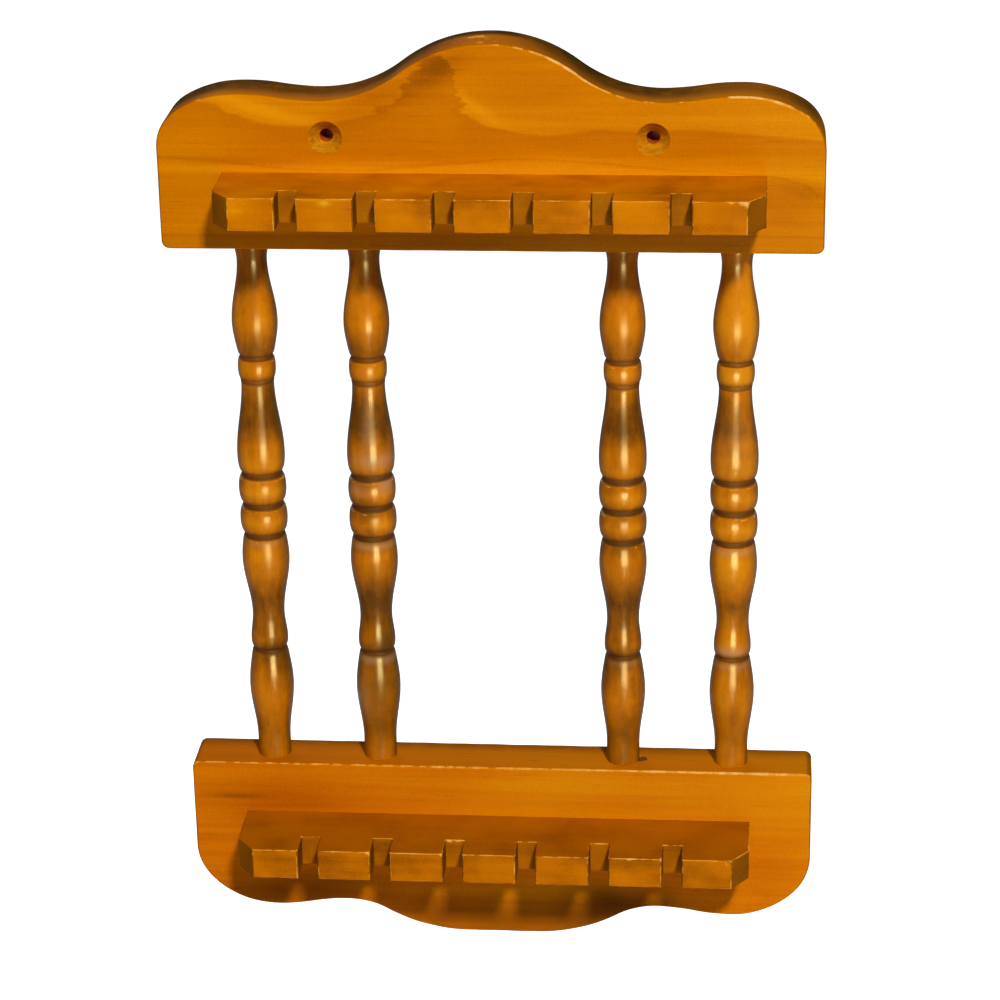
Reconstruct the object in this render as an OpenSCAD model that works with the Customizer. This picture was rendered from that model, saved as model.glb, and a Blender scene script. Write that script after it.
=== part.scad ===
// Wall rack for twelve spoons: two shaped rails, four turned spindles between them,
// and a notched comb on the front of each rail.
// X runs along the rails, Z is up, and the wall is the plane Y = 0 with the room at -Y.
// The origin is midway between the two wall-screw holes, on the wall.

/* [Rails] */
// Width of both rails
rack_w = 254; // [230:1:280]
// Thickness of both rails
rail_t = 22; // [19:0.5:25]
// Clear height between the rails, which is the length of spindle in view
rail_gap = 221; // [205:1:250]
// Radius of the small square corners of the rails
rail_corner_r = 3; // [1:0.5:5]
// Width of the slope sanded along the rails' front and back edges
rail_ease = 0.8; // [0.4:0.1:0.9]

/* [Top rail outline] */
// Height of the top rail at its central crest
crest_h = 81; // [76:0.5:86]
// Height of the top rail at its two shoulders
shoulder_h = 61.5; // [58:0.5:66]
// How far the hollows lie below the shoulders
hollow_drop = 2.5; // [1.5:0.5:5]
// Distance from the end of the rail in to each hollow
hollow_in = 62; // [57:1:67]
// Distance from the end of the rail in to each shoulder
shoulder_in = 31.5; // [28:0.5:35]
// Share of the slope from crest to hollow that the crest's arc takes
crest_share = 0.52; // [0.4:0.02:0.7]
// Degrees through which a shoulder's outer arc turns
shoulder_turn = 30; // [20:1:45]
// Radius where a shoulder turns down into the end of the rail
end_r = 18; // [14:1:22]

/* [Bottom rail outline] */
// Height of the bottom rail at its central lobe
lobe_h = 76.5; // [72:0.5:82]
// Height of the bottom rail at its two side lobes
side_lobe_h = 66; // [62:0.5:70]
// How far the hollows stop short of the side lobes
lower_hollow_drop = 3; // [2:0.5:5]
// Flat length at the middle of the central lobe
lobe_flat = 28; // [20:1:36]
// Distance from the end of the rail in to each lower hollow
lower_hollow_in = 63; // [58:1:68]
// Distance from the end of the rail in to each side lobe
side_lobe_in = 32.5; // [29:0.5:36]
// Share of the slope from lobe to hollow that the lobe's arc takes
lobe_share = 0.68; // [0.5:0.02:0.8]
// Degrees through which a side lobe's outer arc turns
side_lobe_turn = 45; // [30:1:60]
// Radius of the rounded lower corners
lower_end_r = 24; // [18:1:27]

/* [Combs] */
// Distance from the end of a rail in to the end of its comb
comb_in = 23.5; // [19:0.5:27]
// Depth of both combs out from the rails
comb_deep = 33.5; // [29:0.5:38]
// Thickness of both combs
comb_t = 12.8; // [10:0.1:15]
// Height of the upper comb's underside above the lower edge of the top rail
upper_comb_lift = 18; // [17:0.5:24]
// Depth of the lower comb's top below the upper edge of the bottom rail
lower_comb_drop = 22.2; // [18:0.1:26]
// Place of the upper comb's middle, to the right of the rack's middle
upper_comb_x = 1.4; // [-3:0.2:3]
// Place of the lower comb's middle, to the right of the rack's middle
lower_comb_x = -1.4; // [-3:0.2:3]
// Place of the middle of the upper comb's notches, to the right of the rack's middle
upper_notches_x = 0; // [-3:0.2:3]
// Place of the middle of the lower comb's notches, to the right of the rack's middle
lower_notches_x = -2.2; // [-3:0.2:3]
// Number of spoon notches in each comb
notches = 6; // [4:1:6]
// Distance from one notch to the next
notch_pitch = 29.4; // [27:0.2:31]
// Width of a notch
notch_w = 7.8; // [6:0.2:10]
// Depth of the upper comb's notches from the front edge
upper_notch_deep = 10.5; // [9:0.5:15]
// Depth of the lower comb's notches from the front edge
lower_notch_deep = 12; // [9:0.5:15]
// Width of the corner cut off each front end of a comb, along the rail
nose_x = 7; // [4:0.5:9]
// Depth of the same cut, back from the front edge
nose_y = 9; // [5:0.5:12]
// Width of the slope sanded along the combs' upper and lower edges
comb_ease = 0.4; // [0.2:0.1:0.8]

/* [Spindles] */
// Distance from the end of a rail in to the axis of the outer spindle
outer_spindle_in = 33; // [26:1:40]
// Distance between the axes of the two spindles of a pair
pair_pitch = 44; // [36:1:52]
// Diameter of the urn, the twin beads and the baluster
spindle_d = 19; // [17:0.5:21]
// Diameter of the foot vase and of the top vase
vase_d = 18; // [16.5:0.5:19]
// Diameter of the bell and of the collar bead
collar_d = 15; // [14.2:0.2:16]
// Diameter of the two waists
waist_d = 13; // [12:0.2:14]
// Diameter of the neck near the top
neck_d = 11.8; // [11.4:0.2:12.8]
// Diameter where a spindle meets a rail
seat_d = 13.4; // [13:0.2:15]
// Height of the foot vase
foot_h = 48.5; // [45:0.5:52]
// Height of the bell above the foot vase, up to the lower waist
bell_h = 15; // [13:0.5:18]
// Height of the urn above the lower waist
urn_h = 35.5; // [32:0.5:38]
// Height of each of the twin beads
bead_h = 13; // [11:0.5:14]
// Height of the baluster, up to the collar bead
baluster_h = 39.5; // [36:0.5:42]
// Height of the collar bead
collar_h = 10; // [9:0.5:12]
// Width of the grooves on both sides of the twin beads
groove_w = 2.4; // [1.6:0.2:4]
// Depth of the same grooves
groove_deep = 1.2; // [0.8:0.1:2.4]
// Width of the two grooves beside the collar bead
collar_groove_w = 1.6; // [1.2:0.2:2.6]
// Depth of the same grooves
collar_groove_deep = 0.8; // [0.5:0.1:1.4]
// Width of the groove between the foot vase and the bell
foot_groove_w = 1.4; // [1:0.2:2]
// Depth of the same groove
foot_groove_deep = 0.7; // [0.5:0.1:1.3]

/* [Tenons] */
// Diameter of the round tenon on each end of a spindle
tenon_d = 9.5; // [8:0.5:10.5]
// Length of each tenon
tenon_len = 12; // [9:0.5:13]
// Space all round a tenon in its mortise
tenon_clear = 0.05; // [0.02:0.01:0.15]
// Space left for glue beyond the end of a tenon
glue_room = 0.8; // [0.4:0.1:0.9]

/* [Wall screw holes] */
// Distance between the two wall-screw holes
wall_hole_spacing = 124; // [112:1:134]
// Height of the wall-screw holes above the lower edge of the top rail
wall_hole_h = 44.5; // [42:0.5:48]
// Diameter of the wall-screw holes
wall_hole_d = 5.2; // [4.5:0.1:6]
// Diameter of the countersinks at the front face
wall_sink_d = 13; // [11:0.5:14]

/* [Comb screws] */
// Length of the screws that hold the combs
screw_len = 32; // [29:0.5:36]
// Diameter of the screws
screw_d = 3.5; // [3:0.1:4]
// Diameter of the screw heads
screw_head_d = 7; // [6.4:0.1:8]
// Length of the screws' points
screw_point = 5; // [4:0.5:6]
// Space round the screws in the rails
screw_clear = 0.2; // [0.1:0.05:0.4]
// Space round the screws in the combs
pilot_clear = 0.05; // [0.02:0.01:0.1]
// Width of the cross cut in the screw heads
cross_w = 0.9; // [0.7:0.1:1.1]

/* [Hidden] */
$fn = 64;
// Heights of the rails' facing edges, and of the combs' undersides
top_edge_z = -wall_hole_h;
bottom_edge_z = top_edge_z - rail_gap;
upper_comb_z = top_edge_z + upper_comb_lift;
lower_comb_z = bottom_edge_z - lower_comb_drop - comb_t;
// The spindles stand on the middle of the rails' thickness
spindle_y = -rail_t / 2;
outer_spindle_x = rack_w / 2 - outer_spindle_in;
inner_spindle_x = outer_spindle_x - pair_pitch;
spindle_xs = [-outer_spindle_x, -inner_spindle_x, inner_spindle_x, outer_spindle_x];
comb_len = rack_w - 2 * comb_in;
// The comb screws are two pitches out from the middle of the notches, which is behind a block
// when the number of notches is even
screw_out = 2 * notch_pitch;
screw_head_h = (screw_head_d - screw_d) / 2;
wall_sink_h = (wall_sink_d - wall_hole_d) / 2;
// Diameter of the screws' tips, and depth of the cross cut as a share of the head's height
screw_tip_d = 0.4;
cross_share = 0.6;
// Cuts run past the faces that they open through, and the edge cutters a little
past = 1;
edge_past = 0.05;
// Degrees from one outline point to the next on a rail's long arcs, and on its square corners and
// the beads
arc_step = 3;
small_step = 9;
pine = [0.80, 0.50, 0.10];
dark_pine = [0.72, 0.42, 0.08];
zinc = [0.75, 0.70, 0.55];

// Points on an arc round c, from angle a to angle b
function arc(c, r, a, b, step = arc_step) =
    let (n = max(2, ceil(abs(b - a) / step)))
    [for (i = [0:n]) c + r * [cos(a + (b - a) * i / n), sin(a + (b - a) * i / n)]];

// An outline without the points that lie on their neighbours
function distinct(p) = [for (i = [0:len(p) - 1]) if (norm(p[i] - p[(i + 1) % len(p)]) > 0.001) p[i]];

// A clockwise outline moved in by e, square to its sides, with mitred corners
function moved_in(p, e) =
    [for (i = [0:len(p) - 1])
        let (
            before = p[i] - p[(i + len(p) - 1) % len(p)],
            after = p[(i + 1) % len(p)] - p[i],
            out_a = [-before[1], before[0]] / norm(before),
            out_b = [-after[1], after[0]] / norm(after)
        )
        p[i] - e * (out_a + out_b) / (1 + out_a * out_b)];

// Sum of the radii of two arcs that pass smoothly from one level to another,
// dx along and dz up, with a level tangent at both ends
function radii_sum(dx, dz) = (dx * dx + dz * dz) / (2 * dz);

// Right half of a rail outline, from the middle of the crest to the end of the rail: crest,
// hollow, shoulder and end, each an arc that runs smoothly into the next
function crest_to_end(h, flat, share, hollow, shoulder, turn, r_end) =
    let (
        run_in = hollow[0] - flat,
        sum_in = radii_sum(run_in, h - hollow[1]),
        turn_in = atan2(run_in, sum_in - (h - hollow[1])),
        r_crest = sum_in * share,
        r_in = sum_in - r_crest,
        run_out = shoulder[0] - hollow[0],
        sum_out = radii_sum(run_out, shoulder[1] - hollow[1]),
        turn_out = atan2(run_out, sum_out - (shoulder[1] - hollow[1])),
        r_half = sum_out / 2,
        r_out = r_end + (rack_w / 2 - shoulder[0] - r_end) / sin(turn),
        out_c = [shoulder[0], shoulder[1] - r_out],
        end_c = out_c + (r_out - r_end) * [sin(turn), cos(turn)]
    )
    concat(
        arc([flat, h - r_crest], r_crest, 90, 90 - turn_in),
        arc([hollow[0], hollow[1] + r_in], r_in, -90 - turn_in, -90),
        arc([hollow[0], hollow[1] + r_half], r_half, -90, -90 + turn_out),
        arc([shoulder[0], shoulder[1] - r_half], r_half, 90 + turn_out, 90),
        arc(out_c, r_out, 90, 90 - turn),
        arc(end_c, r_end, 90 - turn, 0)
    );

// The whole outline: the right half, the straight edge's two small corners, and the left half
function rail_outline(half) =
    let (c = [rack_w / 2 - rail_corner_r, rail_corner_r])
    distinct(concat(
        half,
        arc(c, rail_corner_r, 0, -90, small_step),
        arc([-c[0], c[1]], rail_corner_r, 270, 180, small_step),
        [for (i = [len(half) - 1:-1:0]) [-half[i][0], half[i][1]]]
    ));

// A ring that slopes the lower edge of a board of this clockwise outline, at height 0. Its section
// is a triangle that runs a little past the board's side and face.
module edge_cutter(outline, ease) {
    n = len(outline);
    inner = moved_in(outline, ease + edge_past);
    outer = moved_in(outline, -edge_past);
    polyhedron(
        points = concat(
            [for (p = inner) [p[0], p[1], -edge_past]],
            [for (p = outer) [p[0], p[1], ease + edge_past]],
            [for (p = outer) [p[0], p[1], -edge_past]]
        ),
        faces = [for (k = [0:2]) for (i = [0:n - 1])
            let (j = (i + 1) % n, a = k * n, b = (k + 1) % 3 * n)
            each [[a + i, b + j, a + j], [a + i, b + i, b + j]]]
    );
}

// A flat board of a clockwise outline, whose long edges are sanded to a slope of width ease
module board(outline, depth, ease) {
    difference() {
        linear_extrude(depth) polygon(outline);
        edge_cutter(outline, ease);
        translate([0, 0, depth]) mirror([0, 0, 1]) edge_cutter(outline, ease);
    }
}

// A rail's board stood up against the wall, with its drawn Y as height
module rail_board(half) {
    rotate([90, 0, 0]) board(rail_outline(half), rail_t, rail_ease);
}

// Round holes for the tenons, into the edge at height z, upwards or downwards
module mortises(z, up) {
    for (x = spindle_xs)
        translate([x, spindle_y, z]) mirror([0, 0, up ? 0 : 1])
            translate([0, 0, -past])
                cylinder(h = tenon_len + glue_room + past, d = tenon_d + 2 * tenon_clear);
}

// Countersunk holes through a rail from the back, for the screws of the comb whose notches have
// their middle at x
module comb_screw_holes(x, z) {
    for (side = [-1, 1])
        translate([x + side * screw_out, 0, z]) rotate([90, 0, 0]) {
            translate([0, 0, -past]) cylinder(h = rail_t + 2 * past, d = screw_d + 2 * screw_clear);
            cylinder(h = screw_head_h, d1 = screw_head_d, d2 = screw_d);
            translate([0, 0, -past]) cylinder(h = past, d = screw_head_d);
        }
}

// Countersunk holes through the top rail from the front, for the wall screws
module wall_screw_holes() {
    for (x = [-wall_hole_spacing / 2, wall_hole_spacing / 2])
        translate([x, 0, 0]) rotate([90, 0, 0]) {
            translate([0, 0, -past]) cylinder(h = rail_t + 2 * past, d = wall_hole_d);
            translate([0, 0, rail_t - wall_sink_h])
                cylinder(h = wall_sink_h, d1 = wall_hole_d, d2 = wall_sink_d);
            translate([0, 0, rail_t]) cylinder(h = past, d = wall_sink_d);
        }
}

module top_rail() {
    half = crest_to_end(crest_h, 0, crest_share, [rack_w / 2 - hollow_in, shoulder_h - hollow_drop],
        [rack_w / 2 - shoulder_in, shoulder_h], shoulder_turn, end_r);
    color(pine) difference() {
        translate([0, 0, top_edge_z]) rail_board(half);
        mortises(top_edge_z, true);
        wall_screw_holes();
        comb_screw_holes(upper_notches_x, upper_comb_z + comb_t / 2);
    }
}

module bottom_rail() {
    half = crest_to_end(lobe_h, lobe_flat / 2, lobe_share,
        [rack_w / 2 - lower_hollow_in, side_lobe_h - lower_hollow_drop],
        [rack_w / 2 - side_lobe_in, side_lobe_h], side_lobe_turn, lower_end_r);
    color(pine) difference() {
        translate([0, 0, bottom_edge_z]) mirror([0, 0, 1]) rail_board(half);
        mortises(bottom_edge_z, false);
        comb_screw_holes(lower_notches_x, lower_comb_z + comb_t / 2);
    }
}

// Plan of a comb seen from above, clockwise from its back edge, which lies on the rail's face. The
// middle of its notches, which are deep, lies to the right of its own middle by slip.
function comb_plan(slip, deep) =
    let (half = comb_len / 2, front = -comb_deep)
    concat(
        [[-half, 0], [half, 0], [half, front + nose_y], [half - nose_x, front]],
        [for (i = [notches - 1:-1:0])
            let (
                x = slip + (i - (notches - 1) / 2) * notch_pitch,
                left = x - notch_w / 2,
                right = x + notch_w / 2,
                back = front + deep
            )
            each [[right, front], [right, back], [left, back], [left, front]]],
        [[-half + nose_x, front], [-half, front + nose_y]]
    );

// A comb with its middle at x, its notches' middle at notches_x, its notches deep and its underside
// at height z, bored for the ends of its screws
module comb(x, notches_x, deep, z) {
    color(dark_pine) difference() {
        translate([x, -rail_t, z]) board(comb_plan(notches_x - x, deep), comb_t, comb_ease);
        for (side = [-1, 1])
            translate([notches_x + side * screw_out, 0, z + comb_t / 2]) rotate([90, 0, 0])
                cylinder(h = screw_len + pilot_clear, d = screw_d + 2 * pilot_clear);
    }
}

// Points of a smooth half wave from [radius, height] a to b, without a itself
function wave(a, b, n = 8) =
    [for (i = [1:n]) let (s = (1 - cos(180 * i / n)) / 2)
        [a[0] + (b[0] - a[0]) * s, a[1] + (b[1] - a[1]) * i / n]];

// Points of a rounded shoulder between a groove and a wide place, from [radius, height] a to b,
// without a itself. It leaves the groove level, as a quarter ellipse, and soft is the share of a
// half wave mixed into that.
function shoulder(a, b, soft = 0, n = 7) =
    let (rising = b[0] > a[0], groove = rising ? a : b, wide = rising ? b : a)
    [for (i = [1:n])
        let (
            turn = 90 * (rising ? i : n - i) / n,
            rise = 1 - cos(turn),
            out = (1 - soft) * sin(turn) + soft * (1 - cos(180 * rise)) / 2
        )
        [groove[0] + (wide[0] - groove[0]) * out, groove[1] + (wide[1] - groove[1]) * rise]];

// A bead of radius r, half an ellipse in the middle of the heights z to z + h, with half a groove of
// radius g and width w above it and below it
function bead(r, g, w, z, h) =
    [for (turn = [-90:small_step:90]) [g + (r - g) * cos(turn), z + h / 2 + (h - w) / 2 * sin(turn)]];

// Half outline of a spindle between its two seats, from the foot upwards
function spindle_outline() =
    let (
        seat = seat_d / 2,
        vase = vase_d / 2,
        full = spindle_d / 2,
        collar = collar_d / 2,
        waist = waist_d / 2,
        neck = neck_d / 2,
        foot_groove = collar - foot_groove_deep,
        bead_groove = full - groove_deep,
        collar_groove = collar - collar_groove_deep,
        z_seat = foot_h * 0.16,
        z_foot_wide = foot_h * 0.66,
        z_waist = foot_h + bell_h,
        z_bead = z_waist + urn_h,
        z_mid_bead = z_bead + bead_h,
        z_baluster = z_mid_bead + bead_h,
        z_collar = z_baluster + baluster_h,
        z_top = z_collar + collar_h,
        top_h = rail_gap - z_top,
        z_bell = foot_h + bell_h / 4,
        z_urn_wide = z_bead - urn_h * 0.3,
        z_baluster_wide = z_baluster + baluster_h * 0.2,
        z_top_wide = z_top + top_h * 0.3,
        z_neck = z_top + top_h * 0.84
    )
    concat(
        [[seat, 0], [seat, z_seat]],
        wave([seat, z_seat], [vase, z_foot_wide]),
        shoulder([vase, z_foot_wide], [foot_groove, foot_h - foot_groove_w / 2], 0.4),
        [[foot_groove, foot_h + foot_groove_w / 2]],
        shoulder([foot_groove, foot_h + foot_groove_w / 2], [collar, z_bell], 0, 4),
        wave([collar, z_bell], [waist, z_waist]),
        wave([waist, z_waist], [full, z_urn_wide]),
        shoulder([full, z_urn_wide], [bead_groove, z_bead - groove_w / 2], 0.3),
        bead(full, bead_groove, groove_w, z_bead, bead_h),
        bead(full, bead_groove, groove_w, z_mid_bead, bead_h),
        [[bead_groove, z_baluster + groove_w / 2]],
        shoulder([bead_groove, z_baluster + groove_w / 2], [full, z_baluster_wide]),
        wave([full, z_baluster_wide], [waist, z_collar - collar_groove_w], 10),
        [[collar_groove, z_collar - collar_groove_w / 2]],
        bead(collar, collar_groove, collar_groove_w, z_collar, collar_h),
        [[collar_groove, z_top + collar_groove_w / 2]],
        shoulder([collar_groove, z_top + collar_groove_w / 2], [vase, z_top_wide], 0.4),
        wave([vase, z_top_wide], [neck, z_neck], 10),
        wave([neck, z_neck], [seat, rail_gap], 5)
    );

// A turned spindle at x, with its tenons run into both rails
module spindle(x) {
    tenon = tenon_d / 2;
    color(pine) translate([x, spindle_y, bottom_edge_z]) rotate_extrude()
        polygon(concat(
            [[0, -tenon_len], [tenon, -tenon_len], [tenon, 0]],
            spindle_outline(),
            [[tenon, rail_gap], [tenon, rail_gap + tenon_len], [0, rail_gap + tenon_len]]
        ));
}

// One screw from the back face into a comb, its head flush with the rail's back
module comb_screw() {
    rotate([90, 0, 0]) difference() {
        union() {
            cylinder(h = screw_head_h, d1 = screw_head_d, d2 = screw_d);
            cylinder(h = screw_len - screw_point, d = screw_d);
            translate([0, 0, screw_len - screw_point])
                cylinder(h = screw_point, d1 = screw_d, d2 = screw_tip_d);
        }
        for (turn = [0, 90])
            rotate([0, 0, turn]) translate([-screw_d / 2, -cross_w / 2, -past])
                cube([screw_d, cross_w, past + screw_head_h * cross_share]);
    }
}

module comb_screws(x, z) {
    color(zinc) for (side = [-1, 1]) translate([x + side * screw_out, 0, z + comb_t / 2]) comb_screw();
}

top_rail();
bottom_rail();
comb(upper_comb_x, upper_notches_x, upper_notch_deep, upper_comb_z);  // upper_comb
comb(lower_comb_x, lower_notches_x, lower_notch_deep, lower_comb_z);  // lower_comb
spindle(spindle_xs[0]);  // spindle_outer_left
spindle(spindle_xs[1]);  // spindle_inner_left
spindle(spindle_xs[2]);  // spindle_inner_right
spindle(spindle_xs[3]);  // spindle_outer_right
comb_screws(upper_notches_x, upper_comb_z);  // upper_comb_screws
comb_screws(lower_notches_x, lower_comb_z);  // lower_comb_screws
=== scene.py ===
"""Looks of a wall rack for twelve spoons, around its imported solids.

Two shaped pine rails are joined by four turned spindles, and each rail carries a notched comb on
its front. All the wood is in worn amber varnish. X runs along the rails, Z is up, the wall is the
plane Y = 0 and the room is at -Y. Lengths are in metres, and angles are in degrees.
"""

import math

import bpy
import numpy as np
from mathutils import Matrix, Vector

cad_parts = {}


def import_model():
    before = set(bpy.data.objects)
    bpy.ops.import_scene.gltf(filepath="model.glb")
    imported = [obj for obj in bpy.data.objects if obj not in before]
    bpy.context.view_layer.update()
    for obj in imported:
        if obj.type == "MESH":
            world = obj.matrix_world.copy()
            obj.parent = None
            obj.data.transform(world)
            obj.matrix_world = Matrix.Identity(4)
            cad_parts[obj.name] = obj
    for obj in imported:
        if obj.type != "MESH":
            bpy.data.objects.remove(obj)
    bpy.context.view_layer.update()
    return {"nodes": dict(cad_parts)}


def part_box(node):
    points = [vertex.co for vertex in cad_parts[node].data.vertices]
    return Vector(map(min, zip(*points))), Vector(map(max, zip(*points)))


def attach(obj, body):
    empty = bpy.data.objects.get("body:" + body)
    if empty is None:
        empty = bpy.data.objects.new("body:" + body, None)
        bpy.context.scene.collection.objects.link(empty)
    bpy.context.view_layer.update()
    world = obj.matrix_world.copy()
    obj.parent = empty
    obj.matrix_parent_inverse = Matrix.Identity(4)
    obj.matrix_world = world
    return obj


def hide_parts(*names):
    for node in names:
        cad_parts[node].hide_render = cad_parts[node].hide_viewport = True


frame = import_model()

# Places taken from the frame
top_rail_low, top_rail_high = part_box("top_rail")
bottom_rail_low, bottom_rail_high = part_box("bottom_rail")
RAIL_FRONT = top_rail_low.y
RAIL_T = top_rail_high.y - top_rail_low.y
RAIL_HALF = top_rail_high.x
TOP_EDGE = top_rail_low.z
BOTTOM_EDGE = bottom_rail_high.z
CREST_H = top_rail_high.z - TOP_EDGE
LOBE_H = BOTTOM_EDGE - bottom_rail_low.z
SPINDLE_Y = RAIL_FRONT / 2
RAIL_GAP = TOP_EDGE - BOTTOM_EDGE

# Top rail outline
SHOULDER_H = 0.0615
HOLLOW_DROP = 0.0025
HOLLOW_IN = 0.062
SHOULDER_IN = 0.0315
CREST_SHARE = 0.52
SHOULDER_TURN = 30
END_R = 0.018

# Bottom rail outline
SIDE_LOBE_H = 0.066
LOWER_HOLLOW_DROP = 0.003
LOBE_FLAT = 0.028
LOWER_HOLLOW_IN = 0.063
SIDE_LOBE_IN = 0.0325
LOBE_SHARE = 0.68
SIDE_LOBE_TURN = 45
LOWER_END_R = 0.024

# Both rails
CORNER_R = 0.003
RAIL_EASE = 0.0008
# Worn places along each rail's arrises: place, height, width, and how much rounder they are
TOP_ROUNDED = ((0.03, 0.074, 0.02, 0.35), (0.108, 0.06, 0.015, 0.5), (-0.1, 0.061, 0.012, 0.3))
BOTTOM_ROUNDED = ((0.1, 0.0, 0.03, 0.4), (0.0, 0.0, 0.05, 0.2))
# Height over which such a place fades
ROUNDED_H = 0.02

# Combs
COMB_DEEP = RAIL_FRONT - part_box("upper_comb")[0].y
NOTCHES = 6
NOTCH_PITCH = 0.0294
NOTCH_W = 0.0078
# The middle of each comb's notches, and their depth
COMB_CUTS = {"upper_comb": (0.0, 0.0105), "lower_comb": (-0.0022, 0.012)}
NOSE_X = 0.007
NOSE_Y = 0.009
COMB_EASE = 0.0004
COMB_CORNER_R = 0.0009
BACK_CORNER_R = 0.0006
NOTCH_CORNER_R = 0.0003
# Within this distance of its rail a comb's arrises are finer
BACK_STRIP = 0.001

# Bores
WALL_HOLE_X = 0.062
WALL_HOLE_R = 0.0026
WALL_SINK_R = 0.0065
SCREW_HOLE_R = 0.00195
SCREW_HEAD_R = 0.0035
PILOT_R = 0.0018
SCREW_REACH = 0.03205
TENON_R = 0.00475
TENON_LEN = 0.012
TENON_EASE = 0.0008
MORTISE_R = 0.0048
MORTISE_LEN = 0.0128
# How far a bit reaches past the wood
PAST = 0.001

# The lump of glue at the foot of the third spindle, with its half length, half width and height
GLUE_FROM_AXIS = 0.0079
GLUE_IN_FRONT = 0.001
GLUE_SUNK = 0.0001
GLUE_SIZE = (0.0017, 0.0014, 0.0013)

# Spindle outline: its radii, the height of each part from the foot upwards, and its grooves
SEAT_R = 0.0067
VASE_R = 0.009
FULL_R = 0.0095
COLLAR_R = 0.0075
WAIST_R = 0.0065
NECK_R = 0.0059
FOOT_H = 0.0485
BELL_H = 0.015
URN_H = 0.0355
BEAD_H = 0.013
BALUSTER_H = 0.0395
COLLAR_H = 0.01
GROOVE_W, GROOVE_DEEP = 0.0024, 0.0012
COLLAR_GROOVE_W, COLLAR_GROOVE_DEEP = 0.0016, 0.0008
FOOT_GROOVE_W, FOOT_GROOVE_DEEP = 0.0014, 0.0007
COVE_DEEP = 0.00015
# Shares of a length's height at which it starts to swell, is widest or is narrowest
FOOT_STRAIGHT = 0.16
FOOT_WIDEST = 0.66
URN_WIDEST_BELOW_TOP = 0.3
BALUSTER_WIDEST = 0.2
TOP_VASE_WIDEST = 0.3
TOP_VASE_NECK = 0.84

# Meshes
OUTLINE_STEP = 0.0009
ARRIS_RINGS = 5
FACE_RING = 0.0002
SHARP_TURN = 35
SPINDLE_SIDES = 96
WALL_BORE_SIDES = 64
BORE_SIDES = 48
PILOT_SIDES = 32
# A normal that is at least this near to square on belongs to a flat face
FLAT_NORMAL = 0.995
# Slack for finding the points and faces of a bore or an edge
NEAR = 0.0001
OFF_FACE = 0.0002
OFF_EDGE = 0.002


def arc(centre, radius, start, end, steps=24):
    """Points at centre + radius (cos a, sin a), with the angle a in equal steps from start to end."""
    a = np.radians(np.linspace(start, end, steps + 1))
    return np.column_stack([centre[0] + radius * np.cos(a), centre[1] + radius * np.sin(a)])


def radii_sum(run, rise):
    """The two radii, added, of two arcs that pass smoothly from one level to another.

    They come to the run squared plus the rise squared, over twice the rise.
    """
    return (run * run + rise * rise) / (2 * rise)


def crest_to_end(height, flat, share, hollow, shoulder, turn, end_r):
    """Right half of a rail's outline as six arcs that run smoothly into each other.

    They are the crest, the two sides of the hollow, the shoulder's inner and outer side, and the
    round at the rail's end. flat is half the length of the crest's level part, and share is the
    crest's part of the first two radii. hollow and shoulder are the lowest point of the one and the
    highest of the other, and turn is how far the shoulder turns before the end's round takes over.
    """
    run_in, rise_in = hollow[0] - flat, height - hollow[1]
    sum_in = radii_sum(run_in, rise_in)
    turn_in = math.degrees(math.atan2(run_in, sum_in - rise_in))
    crest_r = sum_in * share
    hollow_r = sum_in - crest_r
    run_out, rise_out = shoulder[0] - hollow[0], shoulder[1] - hollow[1]
    sum_out = radii_sum(run_out, rise_out)
    turn_out = math.degrees(math.atan2(run_out, sum_out - rise_out))
    half_r = sum_out / 2
    outer_r = end_r + (RAIL_HALF - shoulder[0] - end_r) / math.sin(math.radians(turn))
    outer = (shoulder[0], shoulder[1] - outer_r)
    end = (
        outer[0] + (outer_r - end_r) * math.sin(math.radians(turn)),
        outer[1] + (outer_r - end_r) * math.cos(math.radians(turn)),
    )
    return np.vstack([
        arc((flat, height - crest_r), crest_r, 90, 90 - turn_in),
        arc((hollow[0], hollow[1] + hollow_r), hollow_r, -90 - turn_in, -90),
        arc((hollow[0], hollow[1] + half_r), half_r, -90, -90 + turn_out),
        arc((shoulder[0], shoulder[1] - half_r), half_r, 90 + turn_out, 90),
        arc(outer, outer_r, 90, 90 - turn),
        arc(end, end_r, 90 - turn, 0),
    ])


def rail_outline(half):
    """A rail's whole outline, anticlockwise, with its straight edge at height 0.

    The right half is mirrored to the left, and the straight edge has a small round at each end.
    The points are then spread evenly along it.
    """
    corner = (RAIL_HALF - CORNER_R, CORNER_R)
    right = np.vstack([arc(corner, CORNER_R, -90, 0), half[::-1]])
    left = right[::-1] * (-1, 1)
    return evenly(np.vstack([right, left]), OUTLINE_STEP)


def evenly(points, step):
    """A closed outline's points again, about one step apart along it."""
    ring = np.vstack([points, points[:1]])
    run = np.concatenate([[0], np.cumsum(np.linalg.norm(np.diff(ring, axis=0), axis=1))])
    at = np.linspace(0, run[-1], int(round(run[-1] / step)), endpoint=False)
    return np.column_stack([np.interp(at, run, ring[:, 0]), np.interp(at, run, ring[:, 1])])


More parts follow.
